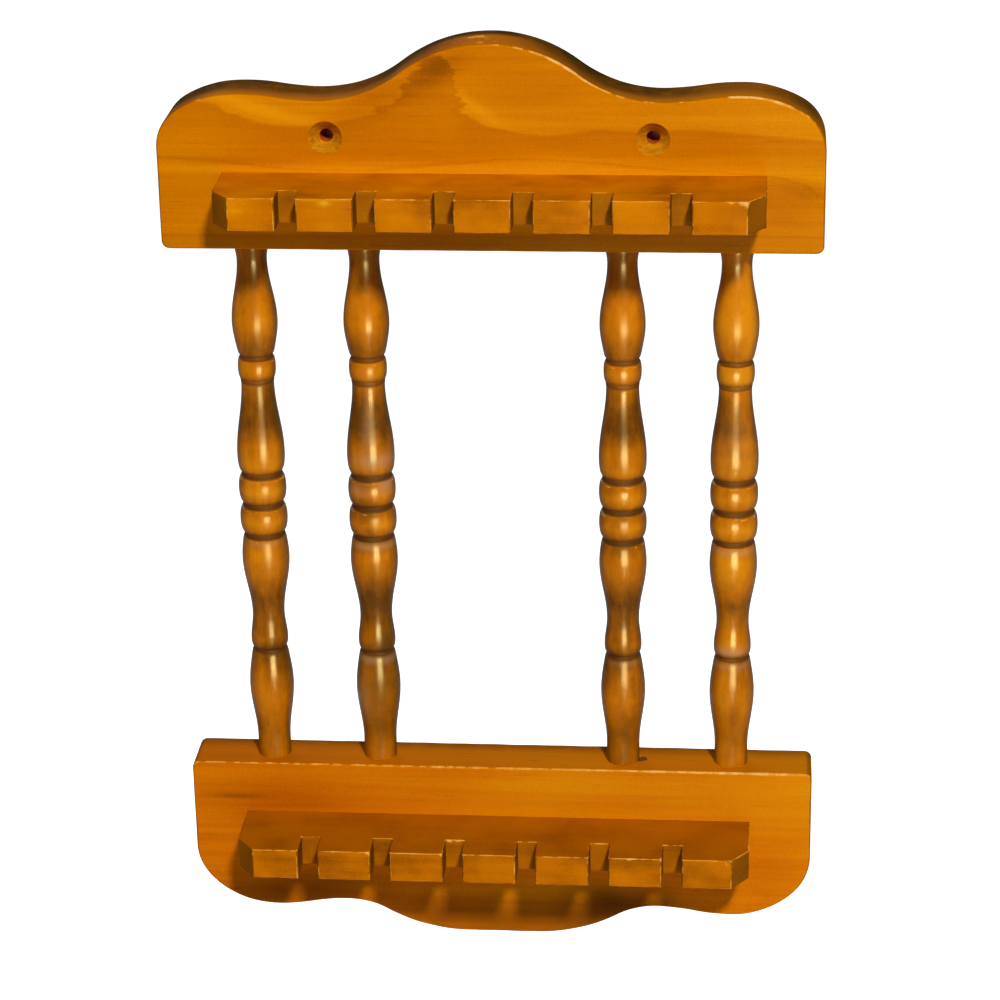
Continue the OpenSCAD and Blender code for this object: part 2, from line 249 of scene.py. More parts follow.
def eased(corners, radii, step):
    """A closed polygon, anticlockwise, whose corners are arcs that touch both of their sides.

    An arc of radius r at a corner that turns by t starts r tan(t / 2) before the corner, and the
    straight sides between the arcs are divided into lengths of about one step.
    """
    points = []
    for k, corner in enumerate(corners):
        before = corner - corners[k - 1]
        after = corners[(k + 1) % len(corners)] - corner
        before, after = before / np.linalg.norm(before), after / np.linalg.norm(after)
        side = 1 if before[0] * after[1] - before[1] * after[0] > 0 else -1
        turn = math.degrees(math.acos(float(np.clip(before @ after, -1, 1))))
        start = corner - before * radii[k] * math.tan(math.radians(turn / 2))
        centre = start + side * radii[k] * np.array([-before[1], before[0]])
        first = math.degrees(math.atan2(*(start - centre)[::-1]))
        points.append(arc(centre, radii[k], first, first + side * turn, 5))
    straights = []
    for k, bend in enumerate(points):
        follow = points[(k + 1) % len(points)][0]
        count = max(1, int(np.linalg.norm(follow - bend[-1]) / step))
        share = np.linspace(0, 1, count, endpoint=False)[1:, None]
        straights.append(bend[-1] * (1 - share) + follow * share)
    return np.vstack([part for pair in zip(points, straights) for part in pair])


def outward(outline):
    """Unit normals of an anticlockwise outline: the mean direction of its two sides, turned right."""
    ahead = np.roll(outline, -1, axis=0) - outline
    ahead /= np.linalg.norm(ahead, axis=1)[:, None]
    along = ahead + np.roll(ahead, 1, axis=0)
    along /= np.linalg.norm(along, axis=1)[:, None]
    return np.column_stack([along[:, 1], -along[:, 0]])


def new_piece(name, points, faces):
    """A mesh object of these points and faces, smooth but for its sharp edges."""
    mesh = bpy.data.meshes.new(name)
    mesh.from_pydata(points.tolist(), [], faces)
    mesh.update()
    piece = bpy.data.objects.new(name, mesh)
    bpy.context.scene.collection.objects.link(piece)
    soften(piece)
    return piece


def soften(piece):
    """Smooth shading, with a sharp edge wherever the surface turns by more than SHARP_TURN."""
    piece.data.shade_smooth()
    piece.data.set_sharp_from_angle(angle=math.radians(SHARP_TURN))


def tube_faces(rows, count, first=0):
    """Faces between the rings of a grid of rows by count points, closed round, with both ends shut.

    first is the number of the grid's first point.
    """
    grid = first + np.arange(rows * count).reshape(rows, count)
    nearer, farther = grid[:-1], grid[1:]
    quads = np.stack([nearer, np.roll(nearer, -1, axis=1), np.roll(farther, -1, axis=1), farther], axis=-1)
    return quads.reshape(-1, 4).tolist() + [grid[0][::-1].tolist(), grid[-1].tolist()]


def slab(name, outline, near, far, ease, place, rows=10):
    """A board: its outline carried from depth near to depth far, with round arrises.

    Across an arris of radius e, with angle a from 0 to 90, a ring is the outline moved in by
    e (1 - sin a), at depth e (1 - cos a) from the face. Two more rings lie flat on each face, so
    that the face shades as a plane, and the thickness between the arrises is divided into rows
    steps. ease gives e at each point, and place turns outline and depth into points.
    """
    a = np.radians(np.linspace(0, 90, ARRIS_RINGS))[:, None]
    flat = FACE_RING * np.array([[2], [1]])
    inset = np.vstack([ease[None] + flat, ease * (1 - np.sin(a))])
    depth = np.vstack([ease[None] * 0 * flat, ease * (1 - np.cos(a))])
    thick = abs(far - near)
    share = np.linspace(0, 1, rows + 1)[1:-1, None]
    middle = ease * (1 - share) + (thick - ease) * share
    inset = np.vstack([inset, middle * 0, inset[::-1]])
    depth = np.vstack([depth, middle, thick - depth[::-1]])
    normals = outward(outline)
    rings = outline[None] - inset[..., None] * normals[None]
    depths = near + depth * (1 if far > near else -1)
    points = place(rings[..., 0], rings[..., 1], depths).reshape(-1, 3)
    return new_piece(name, points, tube_faces(*depth.shape))


def turned(profile, centre, axis, around):
    """A turned solid's points, and its rows and columns: each (distance, radius) swept in a circle.

    The axis is 1 for one that runs along -Y, or 2 for one along +Z, and each circle has around points.
    """
    angle = np.linspace(0, 2 * np.pi, around, endpoint=False)
    distance, radius = profile[:, :1], profile[:, 1:]
    across, beside = radius * np.cos(angle), radius * np.sin(angle)
    along = distance + across * 0
    if axis == 2:
        points = np.stack([across, beside, along], axis=-1)
    else:
        points = np.stack([across, -along, beside], axis=-1)
    return points.reshape(-1, 3) + centre, (len(profile), around)


def drill(piece, bits):
    """Takes the bits, which are turned solids, out of the piece, and keeps the bored mesh."""
    faces, first = [], 0
    for points, size in bits:
        faces += tube_faces(*size, first)
        first += len(points)
    bit = new_piece(piece.name + "_bit", np.vstack([points for points, _ in bits]), faces)
    bore = piece.modifiers.new("bore", "BOOLEAN")
    bore.operation = "DIFFERENCE"
    bore.solver = "EXACT"
    bore.object = bit
    view_layer = bpy.context.evaluated_depsgraph_get()
    bored = bpy.data.meshes.new_from_object(piece.evaluated_get(view_layer))
    piece.modifiers.clear()
    piece.data = bored
    bpy.data.objects.remove(bit)
    soften(piece)


def points_of(piece):
    """The piece's points as an array."""
    flat = np.zeros(len(piece.data.vertices) * 3)
    piece.data.vertices.foreach_get("co", flat)
    return flat.reshape(-1, 3)


def move_points(piece, points):
    """Puts the piece's points at new places."""
    piece.data.vertices.foreach_set("co", points.ravel())
    piece.data.update()


def normals_of(piece):
    """The piece's point normals as an array."""
    flat = np.zeros(len(piece.data.vertices) * 3)
    piece.data.vertex_normals.foreach_get("vector", flat)
    return flat.reshape(-1, 3)


def paint(piece, name, values):
    """Stores one number per point, from 0 to 1, for the piece's material to read."""
    layer = piece.data.attributes.new(name, "FLOAT", "POINT")
    layer.data.foreach_set("value", np.clip(values, 0, 1).astype(np.float32))


def hump(x, centre, width):
    """A smooth hump of height 1: exp of minus the square of the distance over the width."""
    return np.exp(-(((x - centre) / width) ** 2))


def humps(x, places):
    """The sum of several humps, each given as its place, its width and its height."""
    return sum(hump(x, at, width) * height for at, width, height in places)


def board_place(edge, up):
    """Turns a rail's outline, height above its straight edge, and depth into points."""
    return lambda x, h, y: np.stack([x, y, edge + up * h], axis=-1)


def bore_profile(near_r, sink_r, depth, sink_at):
    """A countersunk bore as (distance, radius), with its 45 degree countersink at one face."""
    sink = sink_r - near_r
    if sink_at > 0:
        rows = [(-PAST, near_r), (sink_at - sink, near_r), (sink_at, sink_r), (sink_at + PAST, sink_r)]
    else:
        rows = [(-PAST, sink_r), (0, sink_r), (sink, near_r), (depth + PAST, near_r)]
    return np.array(rows)


def mortise_bits(edge, up):
    """Bits for the round mortises of all four spindles, into one rail's edge."""
    rows = np.array([(-PAST, MORTISE_R), (MORTISE_LEN, MORTISE_R)])
    if up < 0:
        rows = rows[::-1] * (-1, 1)
    return [turned(rows, (x, SPINDLE_Y, edge), 2, BORE_SIDES) for x in SPINDLE_XS]


def comb_screw_xs(node):
    """The places of a comb's screws, two pitches out from the middle of its notches."""
    middle = COMB_CUTS[node][0]
    return middle - 2 * NOTCH_PITCH, middle + 2 * NOTCH_PITCH


def comb_screw_bits(node):
    """Bits for one comb's screws, through its rail from the back."""
    rows = bore_profile(SCREW_HOLE_R, SCREW_HEAD_R, RAIL_T, 0)
    return [turned(rows, (x, 0, comb_middle(node)), 1, BORE_SIDES) for x in comb_screw_xs(node)]


def spindle_x(node):
    """The middle of a spindle, from its box."""
    low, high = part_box(node)
    return (low.x + high.x) / 2


SPINDLES = ("spindle_outer_left", "spindle_inner_left", "spindle_inner_right", "spindle_outer_right")
SPINDLE_XS = [spindle_x(node) for node in SPINDLES]


def worn_ease(x, height, places):
    """The radius of a rail's arrises: RAIL_EASE, 18 percent uneven in two waves, and more where worn."""
    uneven = 1 + 0.18 * np.sin(x * 331 + height * 190) * np.sin(x * 97 + 1.3)
    worn = sum(
        hump(x, at, width) * hump(height, level, ROUNDED_H) * more for at, level, width, more in places
    )
    return RAIL_EASE * uneven * (1 + worn)


def top_rail():
    """The top rail: crest, hollows and shoulders above, and a straight edge below."""
    half = crest_to_end(
        CREST_H, 0, CREST_SHARE, (RAIL_HALF - HOLLOW_IN, SHOULDER_H - HOLLOW_DROP),
        (RAIL_HALF - SHOULDER_IN, SHOULDER_H), SHOULDER_TURN, END_R,
    )
    outline = rail_outline(half)
    ease = worn_ease(outline[:, 0], outline[:, 1], TOP_ROUNDED)
    piece = slab("top_rail_wood", outline, 0, RAIL_FRONT, ease, board_place(TOP_EDGE, 1))
    wall = bore_profile(WALL_HOLE_R, WALL_SINK_R, RAIL_T, RAIL_T)
    bits = [turned(wall, (x, 0, 0), 1, WALL_BORE_SIDES) for x in (-WALL_HOLE_X, WALL_HOLE_X)]
    drill(piece, bits + mortise_bits(TOP_EDGE, 1) + comb_screw_bits("upper_comb"))
    return piece


def bottom_rail():
    """The bottom rail: a straight edge above, and a wide lobe between two side lobes below."""
    half = crest_to_end(
        LOBE_H, LOBE_FLAT / 2, LOBE_SHARE, (RAIL_HALF - LOWER_HOLLOW_IN, SIDE_LOBE_H - LOWER_HOLLOW_DROP),
        (RAIL_HALF - SIDE_LOBE_IN, SIDE_LOBE_H), SIDE_LOBE_TURN, LOWER_END_R,
    )
    outline = rail_outline(half)
    ease = worn_ease(outline[:, 0], outline[:, 1], BOTTOM_ROUNDED)
    piece = slab("bottom_rail_wood", outline, RAIL_FRONT, 0, ease, board_place(BOTTOM_EDGE, -1))
    drill(piece, mortise_bits(BOTTOM_EDGE, -1) + comb_screw_bits("lower_comb"))
    return piece


def comb_middle(node):
    """Half-way up a comb, where its screws are."""
    low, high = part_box(node)
    return (low.z + high.z) / 2


def comb_plan(left_end, right_end, middle, deep):
    """A comb seen from above, anticlockwise, with its corner radii: its back edge is at 0.

    From the left end it runs along the front, in and out of each notch, and back along the rail.
    """
    front = -COMB_DEEP
    corners = [(left_end, front + NOSE_Y), (left_end + NOSE_X, front)]
    radii = [COMB_CORNER_R, COMB_CORNER_R]
    for k in range(NOTCHES):
        x = middle + (k - (NOTCHES - 1) / 2) * NOTCH_PITCH
        left, right = x - NOTCH_W / 2, x + NOTCH_W / 2
        corners += [(left, front), (left, front + deep), (right, front + deep), (right, front)]
        radii += [COMB_CORNER_R, NOTCH_CORNER_R, NOTCH_CORNER_R, COMB_CORNER_R]
    corners += [(right_end - NOSE_X, front), (right_end, front + NOSE_Y), (right_end, 0), (left_end, 0)]
    radii += [COMB_CORNER_R, COMB_CORNER_R, BACK_CORNER_R, BACK_CORNER_R]
    return np.array(corners), radii


def comb(node, seed):
    """A comb: its plan carried up through its thickness, with fine arrises.

    Their radius is COMB_EASE, 30 percent uneven in two waves, and less where the comb meets the rail.
    """
    low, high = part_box(node)
    outline = eased(*comb_plan(low.x, high.x, *COMB_CUTS[node]), OUTLINE_STEP)
    x, y = outline.T
    uneven = 1 + 0.3 * np.sin(x * 523 + seed) * np.sin(x * 211 + y * 300 + 2 * seed)
    ease = COMB_EASE * uneven * np.where(y > -BACK_STRIP, 0.4, 1)
    piece = slab(
        node + "_wood", outline, low.z, high.z, ease,
        lambda along, out, z: np.stack([along, RAIL_FRONT + out, z], axis=-1),
    )
    pilot = np.array([(RAIL_T - PAST, PILOT_R), (SCREW_REACH, PILOT_R)])
    drill(piece, [turned(pilot, (at, 0, comb_middle(node)), 1, PILOT_SIDES) for at in comb_screw_xs(node)])
    return piece


def chip(piece, places, radius, depth):
    """Knocks a small dent into the piece at each place, and gives back how worn each point is.

    A point within the radius moves against its normal, by the depth times (1 - (d / r)^2), where d
    is its distance from the place. Points on the level faces stay, because their faces are long.
    """
    points, normals = points_of(piece), normals_of(piece)
    worn = np.zeros(len(points))
    for place in places:
        away = np.linalg.norm(points - place, axis=1) / radius
        worn = np.maximum(worn, np.clip(1 - away * away, 0, 1) * (np.abs(normals[:, 2]) < FLAT_NORMAL))
    move_points(piece, points - normals * depth * worn[:, None])
    return worn


def wave(a, b, steps=16):
    """Points of a smooth half wave from a to b, as (radius, height), without a itself.

    At a share s of the height, the radius has gone (1 - cos 180 s) / 2 of its way.
    """
    share = np.linspace(0, 1, steps + 1)[1:]
    swing = (1 - np.cos(np.pi * share)) / 2
    return np.column_stack([a[0] + (b[0] - a[0]) * swing, a[1] + (b[1] - a[1]) * share])


def shoulder(a, b, soft=0.0, steps=14):
    """Points of a round shoulder between a groove and a wide place, without a itself.

    It is a quarter ellipse that leaves the groove level: as an angle goes from 0 to 90, the radius
    goes by its sine and the height by 1 less its cosine. soft is the share of a half wave mixed in.
    """
    rising = b[0] > a[0]
    groove, wide = (a, b) if rising else (b, a)
    turn = np.radians(np.linspace(0, 90, steps + 1) if rising else np.linspace(90, 0, steps + 1))[1:]
    rise = 1 - np.cos(turn)
    out = (1 - soft) * np.sin(turn) + soft * (1 - np.cos(np.pi * rise)) / 2
    radius = groove[0] + (wide[0] - groove[0]) * out
    return np.column_stack([radius, groove[1] + (wide[1] - groove[1]) * rise])


def bead(radius, groove, width, low, height):
    """A bead: half an ellipse in the middle of its height, with half a groove above it and below it.

    As an angle goes from -90 to 90, the radius goes by its cosine and the height by its sine.
    """
    turn = np.radians(np.linspace(-90, 90, 31))
    rise = (height - width) / 2 * np.sin(turn)
    return np.column_stack([groove + (radius - groove) * np.cos(turn), low + height / 2 + rise])


def cove(radius, middle, width, steps=8):
    """The bottom of a groove: half a sine wave, a little deeper than the edges of the groove."""
    share = np.linspace(0, 1, steps + 1)[1:-1]
    return np.column_stack([radius - COVE_DEEP * np.sin(np.pi * share), middle + width * (share - 0.5)])


WAIST_Z = FOOT_H + BELL_H
BEAD_Z = WAIST_Z + URN_H
MID_BEAD_Z = BEAD_Z + BEAD_H
BALUSTER_Z = MID_BEAD_Z + BEAD_H
COLLAR_Z = BALUSTER_Z + BALUSTER_H
TOP_VASE_Z = COLLAR_Z + COLLAR_H


def spindle_profile():
    """Half outline of a spindle as (height, radius) with its tenons, from the foot upwards."""
    foot_groove = COLLAR_R - FOOT_GROOVE_DEEP
    bead_groove = FULL_R - GROOVE_DEEP
    collar_groove = COLLAR_R - COLLAR_GROOVE_DEEP
    top_h = RAIL_GAP - TOP_VASE_Z
    bell_z = FOOT_H + BELL_H / 4
    foot_straight, foot_wide = FOOT_H * FOOT_STRAIGHT, FOOT_H * FOOT_WIDEST
    foot_low, foot_high = FOOT_H - FOOT_GROOVE_W / 2, FOOT_H + FOOT_GROOVE_W / 2
    urn_wide = BEAD_Z - URN_H * URN_WIDEST_BELOW_TOP
    baluster_low, baluster_wide = BALUSTER_Z + GROOVE_W / 2, BALUSTER_Z + BALUSTER_H * BALUSTER_WIDEST
    narrow_z = COLLAR_Z - COLLAR_GROOVE_W
    top_low, top_wide = TOP_VASE_Z + COLLAR_GROOVE_W / 2, TOP_VASE_Z + top_h * TOP_VASE_WIDEST
    neck_z = TOP_VASE_Z + top_h * TOP_VASE_NECK
    parts = np.vstack([
        [(SEAT_R, 0), (SEAT_R, foot_straight / 2), (SEAT_R, foot_straight)],
        wave((SEAT_R, foot_straight), (VASE_R, foot_wide), 20),
        shoulder((VASE_R, foot_wide), (foot_groove, foot_low), 0.4),
        cove(foot_groove, FOOT_H, FOOT_GROOVE_W),
        [(foot_groove, foot_high)],
        shoulder((foot_groove, foot_high), (COLLAR_R, bell_z), 0, 8),
        wave((COLLAR_R, bell_z), (WAIST_R, WAIST_Z)),
        wave((WAIST_R, WAIST_Z), (FULL_R, urn_wide), 24),
        shoulder((FULL_R, urn_wide), (bead_groove, BEAD_Z - GROOVE_W / 2), 0.3),
        cove(bead_groove, BEAD_Z, GROOVE_W),
        bead(FULL_R, bead_groove, GROOVE_W, BEAD_Z, BEAD_H),
        cove(bead_groove, MID_BEAD_Z, GROOVE_W),
        bead(FULL_R, bead_groove, GROOVE_W, MID_BEAD_Z, BEAD_H),
        cove(bead_groove, BALUSTER_Z, GROOVE_W),
        [(bead_groove, baluster_low)],
        shoulder((bead_groove, baluster_low), (FULL_R, baluster_wide)),
        wave((FULL_R, baluster_wide), (WAIST_R, narrow_z), 28),
        wave((WAIST_R, narrow_z), (collar_groove, COLLAR_Z), 4),
        bead(COLLAR_R, collar_groove, COLLAR_GROOVE_W, COLLAR_Z, COLLAR_H),
        cove(collar_groove, TOP_VASE_Z, COLLAR_GROOVE_W),
        [(collar_groove, top_low)],
        shoulder((collar_groove, top_low), (VASE_R, top_wide), 0.4),
        wave((VASE_R, top_wide), (NECK_R, neck_z), 24),
        wave((NECK_R, neck_z), (SEAT_R, RAIL_GAP), 10),
    ])
    tenon = [(TENON_R, 0), (TENON_R, TENON_LEN - TENON_EASE), (TENON_R - TENON_EASE, TENON_LEN)]
    foot = np.array(tenon[::-1]) * (1, -1)
    head = np.array(tenon) + (0, RAIL_GAP)
    return np.vstack([foot, parts, head])[:, ::-1]


def spindle(node):
    """A turned spindle: its profile swept round its own axis."""
    foot = (spindle_x(node), SPINDLE_Y, BOTTOM_EDGE)
    points, size = turned(spindle_profile(), foot, 2, SPINDLE_SIDES)
    return new_piece(node + "_wood", points, tube_faces(*size))


def glue_bead():
    """A lump of dried glue at a spindle's foot: half a ball, flattened, with swells round it.

    At angles u round it and v above the rail, its radius is 1 + 0.18 sin 2u + 0.12 sin (3u + 1),
    times half its length, half its width or its height.
    """
    u, v = np.meshgrid(np.linspace(0, 2 * np.pi, 28, endpoint=False), np.radians(np.linspace(0, 84, 9)))
    swell = 1 + 0.18 * np.sin(2 * u) + 0.12 * np.sin(3 * u + 1)
    ball = (np.cos(v) * np.cos(u) * swell, np.cos(v) * np.sin(u) * swell, np.sin(v) * swell)
    beside = spindle_x("spindle_inner_right") + GLUE_FROM_AXIS
    place = (beside, SPINDLE_Y - GLUE_IN_FRONT, BOTTOM_EDGE - GLUE_SUNK)
    points = np.stack(ball, axis=-1) * GLUE_SIZE + place
    return new_piece("glue_bead", points.reshape(-1, 3), tube_faces(*u.shape))


class Finish:
    """A material whose nodes are added by calls. A call that works something out gives back its socket."""

    def __init__(self, name):
        self.material = bpy.data.materials.new(name)
        self.material.use_nodes = True
        self.tree = self.material.node_tree
        self.shader = self.tree.nodes["Principled BSDF"]
        self.place = self.node("TexCoord", {}, "Object")
        self.facing = self.axes(self.node("NewGeometry", {}, "Normal"))

    def node(self, kind, inputs, output=0, **settings):
        """A node with its settings, and with values or other sockets for its inputs."""
        made = self.tree.nodes.new("ShaderNode" + kind)
        for key, value in settings.items():
            setattr(made, key, value)
        for key, value in inputs.items():
            self.feed(made.inputs[key], value)
        return made.outputs[output]

    def feed(self, socket, value):
        """Links a socket to another, or sets its own value."""
        if isinstance(value, bpy.types.NodeSocket):
            self.tree.links.new(value, socket)
        else:
            socket.default_value = value

    def give(self, name, value):
        """Links one of the shader's own sockets, or sets its value."""
        self.feed(self.shader.inputs[name], value)

    def grain(self, height, depth):
        """Bump on the shader, from a height between 0 and 1 that counts as this depth."""
        inputs = {"Height": height, "Strength": 1.0, "Distance": depth}
        self.give("Normal", self.node("Bump", inputs, "Normal"))

    def math(self, operation, a, b=0.0, c=0.0):
        """One sum on numbers."""
        return self.node("Math", {0: a, 1: b, 2: c}, operation=operation)

    def times(self, a, b):
        """Two numbers multiplied."""
        return self.math("MULTIPLY", a, b)

    def axes(self, vector):
        """A vector's three parts."""
        split = self.tree.nodes.new("ShaderNodeSeparateXYZ")
        self.feed(split.inputs[0], vector)
        return split.outputs[0], split.outputs[1], split.outputs[2]

    def add(self, *terms):
        """The sum of several numbers, each of them a value or a (value, weight) pair."""
        total = 0.0
        for term in terms:
            value, weight = term if isinstance(term, tuple) else (term, 1.0)
            total = self.math("MULTIPLY_ADD", value, weight, total)
        return total

    def noise(self, scale, shift=(0, 0, 0), detail=3.0, rough=0.5):
        """Smooth noise from 0 to 1, with scale counts per metre along each axis.

        The wood's patterns have few counts along the grain and many across it.
        """
        vector = self.node("Mapping", {"Vector": self.place, "Location": shift, "Scale": scale})
        return self.node("TexNoise", {"Vector": vector, "Scale": 1.0, "Detail": detail, "Roughness": rough})

    def span(self, value, low, high, to_low=0.0, to_high=1.0):
        """A value's range from low to high, carried smoothly to another range and held beyond it."""
        inputs = {"Value": value, "From Min": low, "From Max": high, "To Min": to_low, "To Max": to_high}
        return self.node("MapRange", inputs, interpolation_type="SMOOTHSTEP")

    def mix(self, share, a, b):
        """Two colours mixed."""
        return self.node("Mix", {0: share, 6: a, 7: b}, 2, data_type="RGBA")

    def ramp(self, value, stops):
        """A colour from a value, between stops of (value, colour)."""
        made = self.tree.nodes.new("ShaderNodeValToRGB")
        self.feed(made.inputs[0], value)
        band = made.color_ramp
        while len(band.elements) < len(stops):
            band.elements.new(0.5)
        for element, (at, shade) in zip(band.elements, stops):
            element.position = at
            element.color = shade
        return made.outputs[0]

    def curve(self, value, points):
        """A smooth curve over a value from 0 to 1, through the points given."""
        made = self.tree.nodes.new("ShaderNodeFloatCurve")
        self.feed(made.inputs["Value"], value)
        line = made.mapping.curves[0]
        while len(line.points) < len(points):
            line.points.new(0.5, 0.5)
        for point, at in zip(line.points, sorted(points)):
            point.location = at
        made.mapping.update()
        return made.outputs[0]

    def spot(self, along, up, centre, size, tilt=0.0):
        """A soft ellipse of height 1, turned by tilt.

        It is exp of minus (a squared plus b squared), where a and b are the distances from its centre
        along its own two axes, each over its size.
        """
        u, v = self.math("SUBTRACT", along, centre[0]), self.math("SUBTRACT", up, centre[1])
        c, s = math.cos(math.radians(tilt)), math.sin(math.radians(tilt))
        a = self.math("DIVIDE", self.add((u, c), (v, s)), size[0])
        b = self.math("DIVIDE", self.add((u, -s), (v, c)), size[1])
        squares = self.add((self.times(a, a), 1.0), (self.times(b, b), 1.0))
        return self.math("EXPONENT", self.times(squares, -1.0))

    def painted(self, name):
        """The numbers stored at the piece's points under this name."""
        return self.node("Attribute", {}, "Fac", attribute_name=name)


def srgb(red, green, blue):
    """A colour written as 0 to 255 on screen, as the shader's linear red, green, blue and alpha."""
    share = np.array([red, green, blue]) / 255
    linear = np.where(share <= 0.04045, share / 12.92, ((share + 0.055) / 1.055) ** 2.4)
    return (*(float(c) for c in linear), 1.0)


DEEP = srgb(146, 76, 2)
ORANGE = srgb(194, 106, 1)
AMBER = srgb(212, 122, 0)
RUSSET = srgb(196, 98, 2)
COPPER = srgb(218, 118, 3)
HONEY = srgb(232, 148, 8)
# Dark brown of the stain, the flecks and the glue, and of the painted shade at the spindles' grooves
DARK_BROWN = srgb(74, 32, 4)
# Dark olive of the grime on upper edges, and of the notches painted darker
DARK_OLIVE = srgb(44, 35, 8)
# Olive of the spindles' dark marks, and of the painted shade on their sides and the painted shadow under
# the upper comb
OLIVE = srgb(84, 58, 10)
# Colour of the painted shadows under the lower comb
SHADOW_BROWN = srgb(76, 38, 8)
END_GRAIN = srgb(92, 54, 8)
# Pale colours of worn wood, which on arrises and rims also stand in for highlights
LIGHT_AMBER = srgb(226, 152, 48)
PALE_PEACH = srgb(238, 178, 94)
# Pale pink of the spindles' pale marks, partly painted highlights
PINK_BEIGE = srgb(190, 146, 100)
FILLER = srgb(236, 168, 26)
RUST = srgb(156, 56, 10)
RAW = srgb(204, 100, 26)
GLUE = srgb(120, 66, 8)
CUT_DARK = srgb(164, 100, 8)
CUT_PALE = srgb(216, 138, 12)
ZINC_DULL = srgb(150, 122, 62)
ZINC_BRIGHT = srgb(214, 186, 112)
# The spindles' colours, as (tone, colour)
TURNED_COLOURS = (
    (0.15, srgb(108, 60, 8)),
    (0.4, srgb(156, 88, 6)),
    (0.65, srgb(198, 112, 4)),
    (0.95, srgb(222, 138, 12)),
)
# The tones at which a rail has the four colours of its palette
PALETTE_AT = (0.2, 0.45, 0.66, 0.9)
# How the varnish tints its own highlights
SATIN_TINT = (1.0, 0.7, 0.12, 1.0)
GLOSS_TINT = (1.0, 0.82, 0.3, 1.0)


def varnished(finish, colour, rough, fibre, fibre_deep, gloss, tint=SATIN_TINT):
    """Varnish over stained wood: its colour, gloss and the fibres that still show in it."""
    finish.give("Base Color", colour)
    finish.give("Roughness", rough)
    finish.give("Specular IOR Level", gloss)
    finish.give("Specular Tint", tint)
    finish.grain(fibre, fibre_deep)
    return finish.material


def rings_tone(finish, number, tones):
    """Growth rings as a tone, from a number that grows by 1 from each ring to the next.

    tones gives each ring's stops, as its share of the way up and the tone there. Most rings start
    with a thin dark line, turn pale just above it and change slowly from there to the next.
    """
    stops = [((ring + part) / len(tones), (tone, tone, tone, 1))
             for ring, steps in enumerate(tones) for part, tone in steps]
    return finish.ramp(finish.math("DIVIDE", number, len(tones)), stops)


def weathered_and_lit(finish, colour, end, seed, up_dark):
    """Stain drawn in by end grain, a darker tone on what looks up, and painted stain, grime, darker notches
    and pale wood, with painted shade in the stain and painted highlights in the pale wood.
    """
    patch = finish.noise((150, 150, 150), (seed, 7, 1), 3.0, 0.6)
    colour = finish.mix(finish.span(end, 0.12, 0.62, 0.0, 0.62), colour, END_GRAIN)
    # A darker tone on the surfaces that look up
    up_darker = finish.span(finish.facing[2], 0.35, 0.9, 0.0, up_dark)
    colour = finish.mix(up_darker, colour, DEEP)
    grime_and_darkening = finish.times(finish.painted("grime_and_darkening"), finish.span(patch, 0.25, 0.6, 0.75, 1.0))
    colour = finish.mix(grime_and_darkening, colour, DARK_OLIVE)
    # Stain, which at the spindles' grooves is also painted shade on the undersides above them
    colour = finish.mix(finish.painted("stain_and_shade"), colour, DARK_BROWN)
    # Pale wood from the painted wear, which on the rails' arrises and the spindles' rims is partly a
    # painted highlight
    breakup = finish.noise((260, 260, 260), (seed, 2, 9), 4.0, 0.6)
    pale_share = finish.add(finish.painted("wear_and_highlight"), (breakup, 1.6), -1.35)
    colour = finish.mix(finish.span(pale_share, 0.0, 0.14, 0.0, 0.85), colour, LIGHT_AMBER)
    return finish.mix(finish.span(pale_share, 0.2, 0.5, 0.0, 0.9), colour, PALE_PEACH)


def satin(finish, seed, end, low, high):
    """Roughness in soft patches, dull on end grain, under dust and in grime."""
    patch = finish.span(finish.noise((40, 40, 40), (seed, 5, 5), 3.0, 0.5), 0.3, 0.7, low, high)
    up = finish.span(finish.facing[2], 0.35, 0.9, 0.0, 0.65)
    dull = finish.math("MAXIMUM", finish.math("MAXIMUM", end, up), finish.painted("grime_and_darkening"))
    return finish.math("MAXIMUM", patch, finish.span(dull, 0.2, 0.8, 0.0, 1.0))


def rail_pine(name, bands, seed, tones, weight, bias, rise, marks, shades, shade_colour, palette):
    """Plain-sawn pine along X: broad rings, fibres, flecks, wear with painted highlights, grime and painted
    shadows.

    bands gives the ring number and tones the tones of each ring. The whole tone is these by their
    weight, with the grain, a bias, a rise to the right and the marks, and it picks the colour from
    the palette. Painted shadows then darken the front face.
    """
    finish = Finish(name)
    x, y, z = finish.axes(finish.place)
    figure = rings_tone(finish, bands(finish, x, y, z), tones)
    fibre = finish.noise((22, 900, 1300), (seed, seed, 0), 3.0, 0.6)
    streak = finish.noise((9, 170, 330), (0, seed, seed), 4.0, 0.6)
    speck = finish.noise((1100, 1100, 1100), (seed, 0, 0), 1.0, 0.5)
    blotch = finish.noise((12, 20, 26), (seed, 1, 2), 2.0, 0.5)
    spots = [(finish.spot(x, z, centre, size, tilt), more) for centre, size, tilt, more in marks]
    grain = finish.add((fibre, 0.12), (streak, 0.34), (speck, 0.18), (blotch, 0.36), -0.14)
    tone = finish.add(bias, (figure, weight), grain, (x, rise), *spots)
    colour = finish.ramp(tone, list(zip(PALETTE_AT, palette)))
    fleck = finish.span(finish.noise((60, 1500, 1900), (seed, 3, 4), 1.0, 0.5), 0.68, 0.76)
    colour = finish.mix(finish.times(fleck, 0.3), colour, DARK_BROWN)
    end = finish.math("ABSOLUTE", finish.facing[0])
    front = finish.span(finish.facing[1], -0.3, -0.8)
    # Painted shadows on the front face, darkening it toward shade_colour
    for centre, size, tilt, strength in shades:
        shade = finish.times(finish.spot(x, z, centre, size, tilt), front)
        colour = finish.mix(finish.times(shade, strength), colour, shade_colour)
    colour = weathered_and_lit(finish, colour, end, seed, 0.55)
    return varnished(finish, colour, satin(finish, seed, end, 0.36, 0.5), fibre, 0.00005, 0.013)


def between(finish, z, low, high):
    """How far z lies from one height to the next, from 0 to 1 and held beyond them."""
    share = finish.math("DIVIDE", finish.math("SUBTRACT", z, low), finish.math("SUBTRACT", high, low))
    return finish.node("Clamp", {"Value": share})


